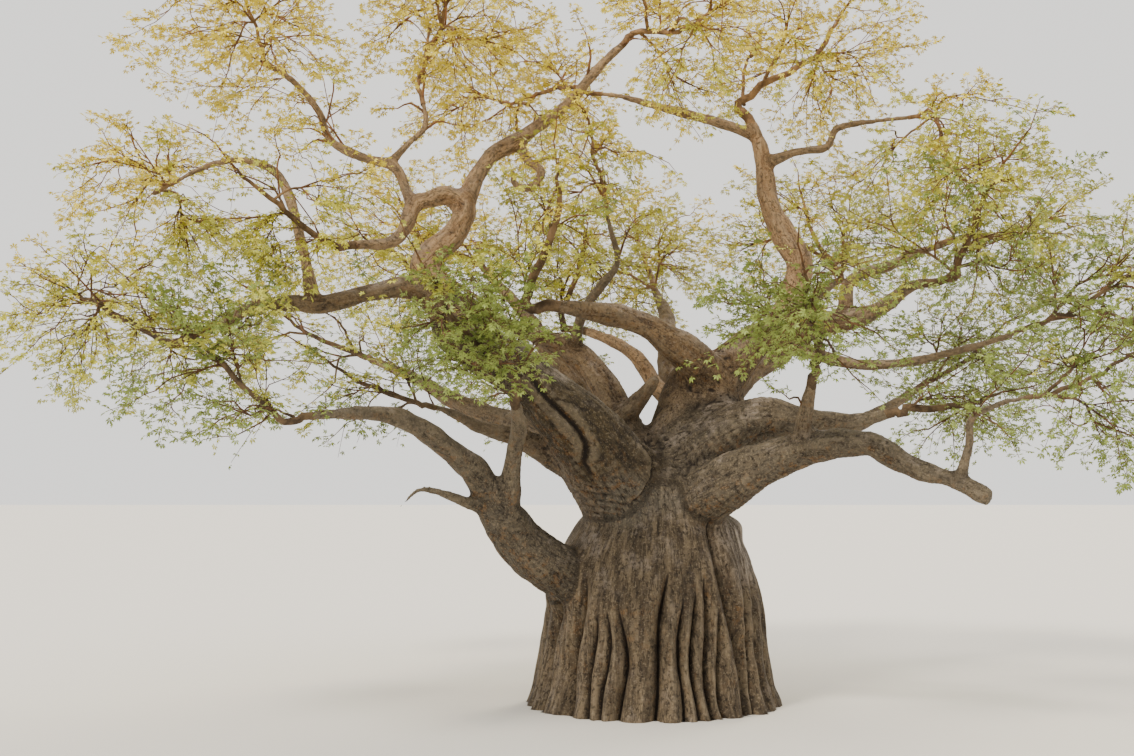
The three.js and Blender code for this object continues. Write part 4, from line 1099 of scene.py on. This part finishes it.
def fine_twigs(number, lines):
    """The finer twigs of a mass as lines of three rows, and the sprays that end them."""
    name = mass_names[number]
    draw = np.random.default_rng(500 + number)
    volume = 4 / 3 * math.pi * reaches[number] ** 3 * FLATNESS
    tips = even_places(number, int(volume * SPRAYS_PER_CUBIC_METRE))
    if centres[number][1] < 0:
        more = even_places(number, int(volume * SPRAYS_PER_CUBIC_METRE * THICKER), 0.5)
        tips = np.vstack([tips, more[in_circles(more, THICK_CLUSTERS)]])
    tips = tips[in_space(number, tips)]
    source = MASSES[name][0]
    bough = smooth_rows(limb_rows[source], 4)
    start_rows = [bough[len(bough) // 2:], smooth_rows(stems[name], 6)[7:]]
    start_rows += [smooth_rows(rows, 4)[2:] for rows in lines]
    spots = np.vstack(start_rows)
    spot_ways = np.vstack([headings(rows) for rows in start_rows])
    reach_to = np.linalg.norm(tips[:, None] - spots[None, :, :3], axis=2).min(axis=1)
    made = []
    sprays = []
    for tip in tips[np.argsort(reach_to, kind="stable")]:
        way = tip - spots[:, :3]
        far = np.linalg.norm(way, axis=1)
        alike = (way * spot_ways).sum(axis=1) / np.maximum(far, 1e-6)
        cost = far * (HEADING_COST - alike) + 9.0 * (far < LEAST_STEP)
        best = int(np.argmin(cost))
        start, ahead, gap = spots[best, :3], spot_ways[best], far[best]
        if gap < TOO_NEAR:
            continue
        length = min(draw.uniform(*FINE_SPRAY), gap)
        heading = unit(unit(way[best]) + 0.25 * unit(tip - centres[number])
                       + [0, 0, draw.uniform(-0.25, 0.22)])
        root = tip - heading * length
        roll = draw.uniform(-0.8, 0.8)
        if gap - length < 0.15:
            root = start
            heading = unit(way[best] + 0.15 * ahead)
        clear = (is_clear(name, start, root, LIMB_MARGIN, source)[0]
                 and is_clear(name, root, tip, LIMB_MARGIN)[0])
        if not (clear and stands_open(root, tip)):
            continue
        girth = min(spots[best, 3] * 0.8, FINE_TWIG_GIRTH + FINE_GIRTH_PER_LENGTH * gap)
        end_girth = min(girth, FINE_TWIG_GIRTH)
        run = np.linalg.norm(root - start)
        if run > 0.05:
            middle = (start + root) / 2 + (0.16 * ahead + [0, 0, draw.uniform(-0.02, 0.12)]) * run
            rows = np.array([[*start, girth], [*middle, (girth + end_girth) / 2], [*root, end_girth]])
            made.append(rows)
            grown = smooth_rows(rows, 3)[2:]
            spots = np.vstack([spots, grown])
            spot_ways = np.vstack([spot_ways, headings(grown)])
        sprays.append((root, heading, roll, length, end_girth, number))
    return made, sprays


twig_lines = []
fine_lines = []
sprays = []
for number in range(len(mass_names)):
    lines, main_sprays = first_twigs(number)
    finer, fine_sprays = fine_twigs(number, lines)
    twig_lines += lines
    fine_lines += finer
    sprays += main_sprays + fine_sprays


def tubes(lines, sides):
    """Many tapering tubes of the same number of rows at once, as points and four-sided faces."""
    lines = np.asarray(lines, float)
    count, rows = lines.shape[:2]
    ahead = headings(lines)
    across = np.where(np.abs(ahead[:, 0, 2:3]) < 0.9, [[0.0, 0.0, 1.0]], [[1.0, 0.0, 0.0]])
    spin = np.arange(sides) * 2 * np.pi / sides
    points = np.empty((count, rows, sides, 3))
    for r in range(rows):
        way = ahead[:, r]
        across = unit(across - way * (across * way).sum(axis=1, keepdims=True))
        up = np.cross(way, across)
        half = lines[:, r, 3, None, None] / 2
        points[:, r] = (lines[:, r, None, :3] + across[:, None] * half * np.cos(spin)[None, :, None]
                        + up[:, None] * half * np.sin(spin)[None, :, None])
    ring = np.arange(sides)
    here = np.arange(rows - 1)[:, None] * sides + ring
    after = np.arange(rows - 1)[:, None] * sides + (ring + 1) % sides
    quads = np.stack([here, after, after + sides, here + sides], axis=-1).reshape(-1, 4)
    faces = quads[None] + (np.arange(count) * rows * sides)[:, None, None]
    return points.reshape(-1, 3), faces.reshape(-1, 4)


def stacked(parts):
    """Joins arrays of points and faces into one pair."""
    first = 0
    all_points, all_faces = [], []
    for some_points, some_faces in parts:
        all_points.append(some_points)
        all_faces.append(some_faces + first)
        first += len(some_points)
    return np.vstack(all_points), np.vstack(all_faces)


def mesh_object(name, points, faces):
    """An object from arrays of points and of faces that all have the same number of corners."""
    mesh = bpy.data.meshes.new(name)
    mesh.vertices.add(len(points))
    mesh.vertices.foreach_set("co", np.ascontiguousarray(points, dtype=np.float32).ravel())
    mesh.loops.add(faces.size)
    mesh.loops.foreach_set("vertex_index", np.ascontiguousarray(faces, dtype=np.int32).ravel())
    mesh.polygons.add(len(faces))
    mesh.polygons.foreach_set("loop_start", np.arange(len(faces), dtype=np.int32) * faces.shape[1])
    mesh.polygons.foreach_set("loop_total", np.full(len(faces), faces.shape[1], dtype=np.int32))
    mesh.update(calc_edges=True)
    mesh.validate()
    return new_object(name, mesh)


def crooked(lines, amount, seed):
    """Gives many smooth lines small kinks, growing from nothing at their roots."""
    lines = np.array(lines, float)
    draw = np.random.default_rng(seed)
    length = np.linalg.norm(lines[:, -1, :3] - lines[:, 0, :3], axis=1)
    shift = draw.normal(0, 1, lines[..., :3].shape) * amount * length[:, None, None]
    shift[:, 0] = 0
    shift[:, -1] *= 0.3
    lines[..., :3] += shift
    return lines


STEM_SINK = 0.15         # how far a stem's root is sunk in its bough
smooth_stems = []
for rows in stems.values():
    fine_rows = smooth_rows(rows, 6)
    fine_rows[0, :3] -= headings(rows)[0] * STEM_SINK
    smooth_stems.append(fine_rows)
smooth_twigs = [smooth_rows(rows, 4) for rows in twig_lines]
smooth_fine = [smooth_rows(rows, 2) for rows in fine_lines]
stem_wood = mesh_object("stem_wood", *stacked([
    tubes(crooked(smooth_stems, 0.008, 71), 12),
    tubes(crooked(smooth_twigs, 0.012, 72), 7),
]))

# Each spray is a bowed shoot with side shoots on both edges.
SHOOT_STEPS = 5
SIDE_SHOOTS = 6
SIDE_STEPS = 1
SHOOT_END_GIRTH = 0.012
SIDE_SHOOT_GIRTH = 0.017
SHOOT_DROOP = np.array([0, 0, -0.09])
SIDE_SHOOT_DROOP = np.array([0, 0, -0.12])
draw = np.random.default_rng(73)
roots, ways, rolls, lengths, girths, owners = [np.array(column) for column in zip(*sprays)]
flat_frames = np.array([flat_frame(way, roll) for way, roll in zip(ways, rolls)])
ridges, edges = flat_frames[:, 0], flat_frames[:, 1]

bend = draw.uniform(-0.12, 0.12, (len(sprays), 2))
shoot_lines = np.empty((len(sprays), SHOOT_STEPS + 1, 4))
for s in range(SHOOT_STEPS + 1):
    t = s / SHOOT_STEPS
    arch = math.sin(math.pi * t)
    shoot_lines[:, s, :3] = (roots + ways * (lengths * t * 0.95)[:, None]
                             + SHOOT_DROOP * (lengths * t ** 2)[:, None]
                             + edges * (bend[:, 0] * lengths * arch)[:, None]
                             + ridges * (bend[:, 1] * lengths * arch)[:, None])
    shoot_lines[:, s, 3] = np.maximum(girths * (1 - 0.75 * t), SHOOT_END_GIRTH)
shoot_lines = crooked(shoot_lines, 0.012, 74)


def places_on(lines, t, furthest):
    """A row on each line, the share t of the way along it."""
    spot = np.clip(t, 0, furthest) * (lines.shape[1] - 1)
    low = spot.astype(int)
    part = (spot - low)[:, None]
    index = np.arange(len(lines))
    return lines[index, low] * (1 - part) + lines[index, low + 1] * part


side_lines = []
for k in range(SIDE_SHOOTS):
    t = 0.14 + 0.80 * k / (SIDE_SHOOTS - 1) + draw.uniform(-0.05, 0.05, len(sprays))
    start = places_on(shoot_lines, t, 0.98)
    side = 1 if k % 2 else -1
    angle = draw.uniform(0.6, 1.15, len(sprays))[:, None]
    run = (0.34 * np.sin(np.pi * np.clip(t * 0.82 + 0.14, 0, 1)) + 0.08) * lengths
    run = run * draw.uniform(0.7, 1.25, len(sprays))
    lift = draw.normal(0.10, 0.42, len(sprays))[:, None]
    way = unit(ways * np.cos(angle) + edges * side * np.sin(angle) + ridges * lift)
    line = np.empty((len(sprays), SIDE_STEPS + 1, 4))
    for s in range(SIDE_STEPS + 1):
        u = s / SIDE_STEPS
        line[:, s, :3] = (start[:, :3] + way * (run * u)[:, None]
                          + SIDE_SHOOT_DROOP * (run * u ** 2)[:, None])
        line[:, s, 3] = np.minimum(start[:, 3] * 0.7, SIDE_SHOOT_GIRTH) * (1 - 0.45 * u)
    side_lines.append(line)
side_lines = crooked(np.vstack(side_lines), 0.03, 75)
side_owner = np.tile(np.arange(len(sprays)), SIDE_SHOOTS)
keep = np.empty(len(side_lines), dtype=bool)
for number, name in enumerate(mass_names):
    mine = np.flatnonzero(owners[side_owner] == number)
    tips = side_lines[mine, -1, :3]
    keep[mine] = in_space(number, tips, 1.10) & is_clear(name, side_lines[mine, 1, :3], tips, 0.04)
side_lines = side_lines[keep]
side_owner = side_owner[keep]
twigs = mesh_object("twigs", *stacked([tubes(smooth_fine, 4), tubes(shoot_lines, 3)]))
side_twigs = mesh_object("side_twigs", *tubes(side_lines, 3))

# Bark of twigs: smooth, thin and red-brown, with a dull face. It is grey-brown low down and tan high up.
# The dark and the light of each, low down and high up.
TWIG_WOOD = {
    "twig bark, thin and red-brown": ([twigs, side_twigs], ("#402d1e", "#6c4c31"), ("#533922", "#8a603a")),
    "bark of young boughs, smooth and tan": ([stem_wood], ("#3a2d1f", "#6a563e"), ("#5a432c", "#947450")),
}
for name, (pieces, low_shades, high_shades) in TWIG_WOOD.items():
    twig_bark = new_material(name)
    tree = twig_bark.node_tree
    place = add_node(tree, "ShaderNodeTexCoord", {}, "Object")
    stain = add_node(tree, "ShaderNodeTexNoise", {"Vector": place, "Scale": 2.4, "Detail": 6.0,
                                                  "Roughness": 0.68})
    share = add_node(tree, "ShaderNodeMapRange", {0: stain, 1: 0.36, 2: 0.64},
                     interpolation_type="SMOOTHSTEP")
    ends = [
        add_node(tree, "ShaderNodeMix", {0: share, 6: linear(dark), 7: linear(light)}, 2, data_type="RGBA")
        for dark, light in (low_shades, high_shades)]
    up = add_node(tree, "ShaderNodeSeparateXYZ", {0: place}, "Z")
    high = add_node(tree, "ShaderNodeMapRange", {0: up, 1: 8.5, 2: 14.0}, interpolation_type="SMOOTHSTEP")
    colour = add_node(tree, "ShaderNodeMix", {0: high, 6: ends[0], 7: ends[1]}, 2, data_type="RGBA")
    raised = add_node(tree, "ShaderNodeBump", {"Strength": 0.7, "Distance": 0.01, "Height": stain}, "Normal")
    surface = add_node(tree, "ShaderNodeBsdfPrincipled", {"Base Color": colour, "Roughness": 0.74,
                                                          "Normal": raised, "Specular IOR Level": 0.3})
    add_node(tree, "ShaderNodeOutputMaterial", {"Surface": surface})
    for piece in pieces:
        stands_for(piece, twig_bark, MASSES)
        piece.data.shade_smooth()


# The leaves
# Palm-shaped leaves of five thin leaflets on a stalk, near the ends of the shoots. Leaves high up, on the left
# and at the rim are golden yellow-green as painted light. Those inside, low down, on the right and in the thick
# front clusters are a deeper green as painted shade, with some tone at random. Each spray has leaves of one
# colour.

LEAF_RADIUS = 0.114
LEAVES_PER_SHOOT = 4
LEAFLET_TURNS = np.radians([-92, -46, 0, 46, 92])
LEAFLET_LENGTHS = np.array([0.74, 0.94, 1.0, 0.94, 0.74])
LEAFLET_WIDTH_SHARE = 0.38
LEAFLET_RISE = 0.05      # a leaflet arches up to its widest place and droops to its tip
LEAFLET_DROOP = 0.22


def leaf_outline():
    """One leaf of radius 1 in its own plane, its stalk at the origin: five kites that droop at the tip."""
    corners = []
    for spin, length in zip(LEAFLET_TURNS, LEAFLET_LENGTHS):
        out = np.array([math.cos(spin), math.sin(spin), 0])
        side = np.array([-math.sin(spin), math.cos(spin), 0])
        half = LEAFLET_WIDTH_SHARE * length / 2
        widest = out * 0.58 * length + [0, 0, LEAFLET_RISE]
        tip = out * length - [0, 0, LEAFLET_DROOP * length]
        corners += [out * 0.02, widest - side * half, tip, widest + side * half]
    return np.array(corners), np.arange(20).reshape(5, 4)


draw = np.random.default_rng(76)
side_ways = unit(side_lines[:, -1, :3] - side_lines[:, 0, :3])
level_side = unit(np.cross(side_ways, [0, 0, 1.0]))
leaf_places = []
leaf_ways = []
leaf_spray = []
for k in range(LEAVES_PER_SHOOT):
    t = np.full(len(side_lines), 1.0)
    if k > 0:
        t = 0.22 + 0.74 * (k - 1) / (LEAVES_PER_SHOOT - 1) + draw.uniform(-0.08, 0.08, len(side_lines))
    start = places_on(side_lines, t, 0.999)[:, :3]
    swing = draw.uniform(0.5, 1.5, len(side_lines)) * (0 if k == 0 else 1 if k % 2 else -1)
    way = unit(side_ways * np.cos(swing)[:, None] + level_side * np.sin(swing)[:, None]
               + draw.normal(0, 0.30, (len(side_lines), 3)))
    leaf_places.append(start + way * draw.uniform(0.03, 0.12, len(side_lines))[:, None])
    leaf_ways.append(way)
    leaf_spray.append(side_owner)
for s in range(2, SHOOT_STEPS + 1):
    swing = draw.uniform(0.4, 1.3, len(sprays)) * (0 if s == SHOOT_STEPS else 1 if s % 2 else -1)
    way = unit(ways * np.cos(swing)[:, None] + edges * np.sin(swing)[:, None]
               + draw.normal(0, 0.24, ways.shape))
    leaf_places.append(shoot_lines[:, s, :3] + way * 0.05)
    leaf_ways.append(way)
    leaf_spray.append(np.arange(len(sprays)))
leaf_places = np.vstack(leaf_places)
leaf_ways = np.vstack(leaf_ways)
leaf_spray = np.concatenate(leaf_spray)
leaf_sizes = LEAF_RADIUS * draw.uniform(0.72, 1.2, len(leaf_places))
lift = unit(np.array([0, 0, 1.0]) + draw.normal(0, 0.45, (len(leaf_places), 3)))
leaf_side = unit(np.cross(lift, leaf_ways))
leaf_up = np.cross(leaf_ways, leaf_side)

keep = np.ones(len(leaf_places), dtype=bool)
for number, name in enumerate(mass_names):
    mine = np.flatnonzero(owners[leaf_spray] == number)
    ends = leaf_places[mine] + leaf_ways[mine] * leaf_sizes[mine, None]
    for some, some_ends in zip(np.array_split(mine, 4), np.array_split(ends, 4)):
        keep[some] = is_clear(name, leaf_places[some], some_ends, 0.02) & in_space(number, some_ends, 1.12)

# Which colour a spray takes: golden high up, at the left and at the rim as painted light, and deep green low
# down, at the right and in the thick front clusters as painted shade, with some tone at random.
LEAF_COLOURS = {
    "leaves_golden": ("baobab leaf, golden green, painted lit", "#e2cf4e"),
    "leaves_yellow_green": ("baobab leaf, yellow-green", "#ccc74a"),
    "leaves_green": ("baobab leaf, grass green", "#b3b34a"),
    "leaves_deep": ("baobab leaf, deep green, painted shade", "#869546"),
}
LEAF_TRIANGLES = 10
LARGEST_PIECE = 190000
CLUSTER_SHADE_GREEN = 0.26
COLOUR_STEPS = [-0.42, -0.08, 0.24]
spray_middle = roots + ways * (0.5 * lengths)[:, None]
rim = np.hypot(spray_middle[:, 0] / 14.0, spray_middle[:, 1] / 11.5)
# Painted light: sprays high up, at the left and at the rim get the more golden colours.
gold = (0.15 * (spray_middle[:, 2] - 11.0) - 0.026 * spray_middle[:, 0] + 0.20 * (rim - 0.5)
        + draw.normal(0, 0.20, len(sprays)))
# Painted shade: sprays in the thick front clusters are dealt a deeper green.
gold -= CLUSTER_SHADE_GREEN * (in_circles(spray_middle, THICK_CLUSTERS) & (spray_middle[:, 1] < 0))
spray_colour = np.digitize(-gold, COLOUR_STEPS)
outline, outline_faces = leaf_outline()
for c, (piece_name, (material_name, code)) in enumerate(LEAF_COLOURS.items()):
    leaf = new_material(material_name)
    tree = leaf.node_tree
    surface = add_node(tree, "ShaderNodeBsdfPrincipled", {"Base Color": linear(code), "Roughness": 0.5,
                                                          "Specular IOR Level": 0.35})
    add_node(tree, "ShaderNodeOutputMaterial", {"Surface": surface})
    mine = np.flatnonzero(keep & (spray_colour[leaf_spray] == c))
    parts = math.ceil(len(mine) * LEAF_TRIANGLES / LARGEST_PIECE)
    for p, some in enumerate(np.array_split(mine, parts)):
        scaled = outline[None] * leaf_sizes[some, None, None]
        points = (leaf_places[some, None] + scaled[..., 0:1] * leaf_ways[some, None]
                  + scaled[..., 1:2] * leaf_side[some, None] + scaled[..., 2:3] * leaf_up[some, None])
        faces = outline_faces[None] + (np.arange(len(some)) * len(outline))[:, None, None]
        leaves = mesh_object(f"{piece_name}_{p + 1}", points.reshape(-1, 3), faces.reshape(-1, 4))
        stands_for(leaves, leaf, MASSES)


# The stage
# A plain pale floor under a bright, even sky, with one broad soft lamp high on the left and a weaker one
# behind.

FLOOR_SIDE = 900
SKY_STRENGTH = 1.55
CAMERA_LENS = 45
CAMERA_SENSOR = 36
CAMERA_TILT = 94.5
FURTHEST_SEEN = 1000
bpy.ops.mesh.primitive_plane_add(size=FLOOR_SIDE, location=(0, 0, 0))
floor = bpy.context.object
floor.name = "floor"
floor_paint = new_material("pale matt floor")
tree = floor_paint.node_tree
surface = add_node(tree, "ShaderNodeBsdfPrincipled", {"Base Color": linear("#d6d3cd"), "Roughness": 0.9})
add_node(tree, "ShaderNodeOutputMaterial", {"Surface": surface})
floor.data.materials.append(floor_paint)

world = bpy.data.worlds.new("even sky")
bpy.context.scene.world = world
world.use_nodes = True
background = world.node_tree.nodes["Background"]
background.inputs["Color"].default_value = linear("#f4f2ee")
background.inputs["Strength"].default_value = SKY_STRENGTH

# Name, strength, breadth in degrees, colour, and the lamp's tilt from overhead and its turn, in degrees.
LAMPS = [
    ("key_lamp", 3.4, 14, "#fff4e2", 46, -42),
    ("back_lamp", 2.2, 20, "#fff0d0", 55, 150),
]
for name, strength, breadth, code, tilt, spin in LAMPS:
    lamp = bpy.data.lights.new(name, "SUN")
    lamp.energy = strength
    lamp.angle = math.radians(breadth)
    lamp.color = linear(code)[:3]
    lamp_object = new_object(name, lamp)
    lamp_object.rotation_euler = (math.radians(tilt), 0, math.radians(spin))

camera = bpy.data.cameras.new("camera")
camera.lens = CAMERA_LENS
camera.sensor_width = CAMERA_SENSOR
camera.clip_end = FURTHEST_SEEN
camera_object = new_object("camera", camera)
camera_object.location = EYE
camera_object.rotation_euler = (math.radians(CAMERA_TILT), 0, 0)
bpy.context.scene.camera = camera_object
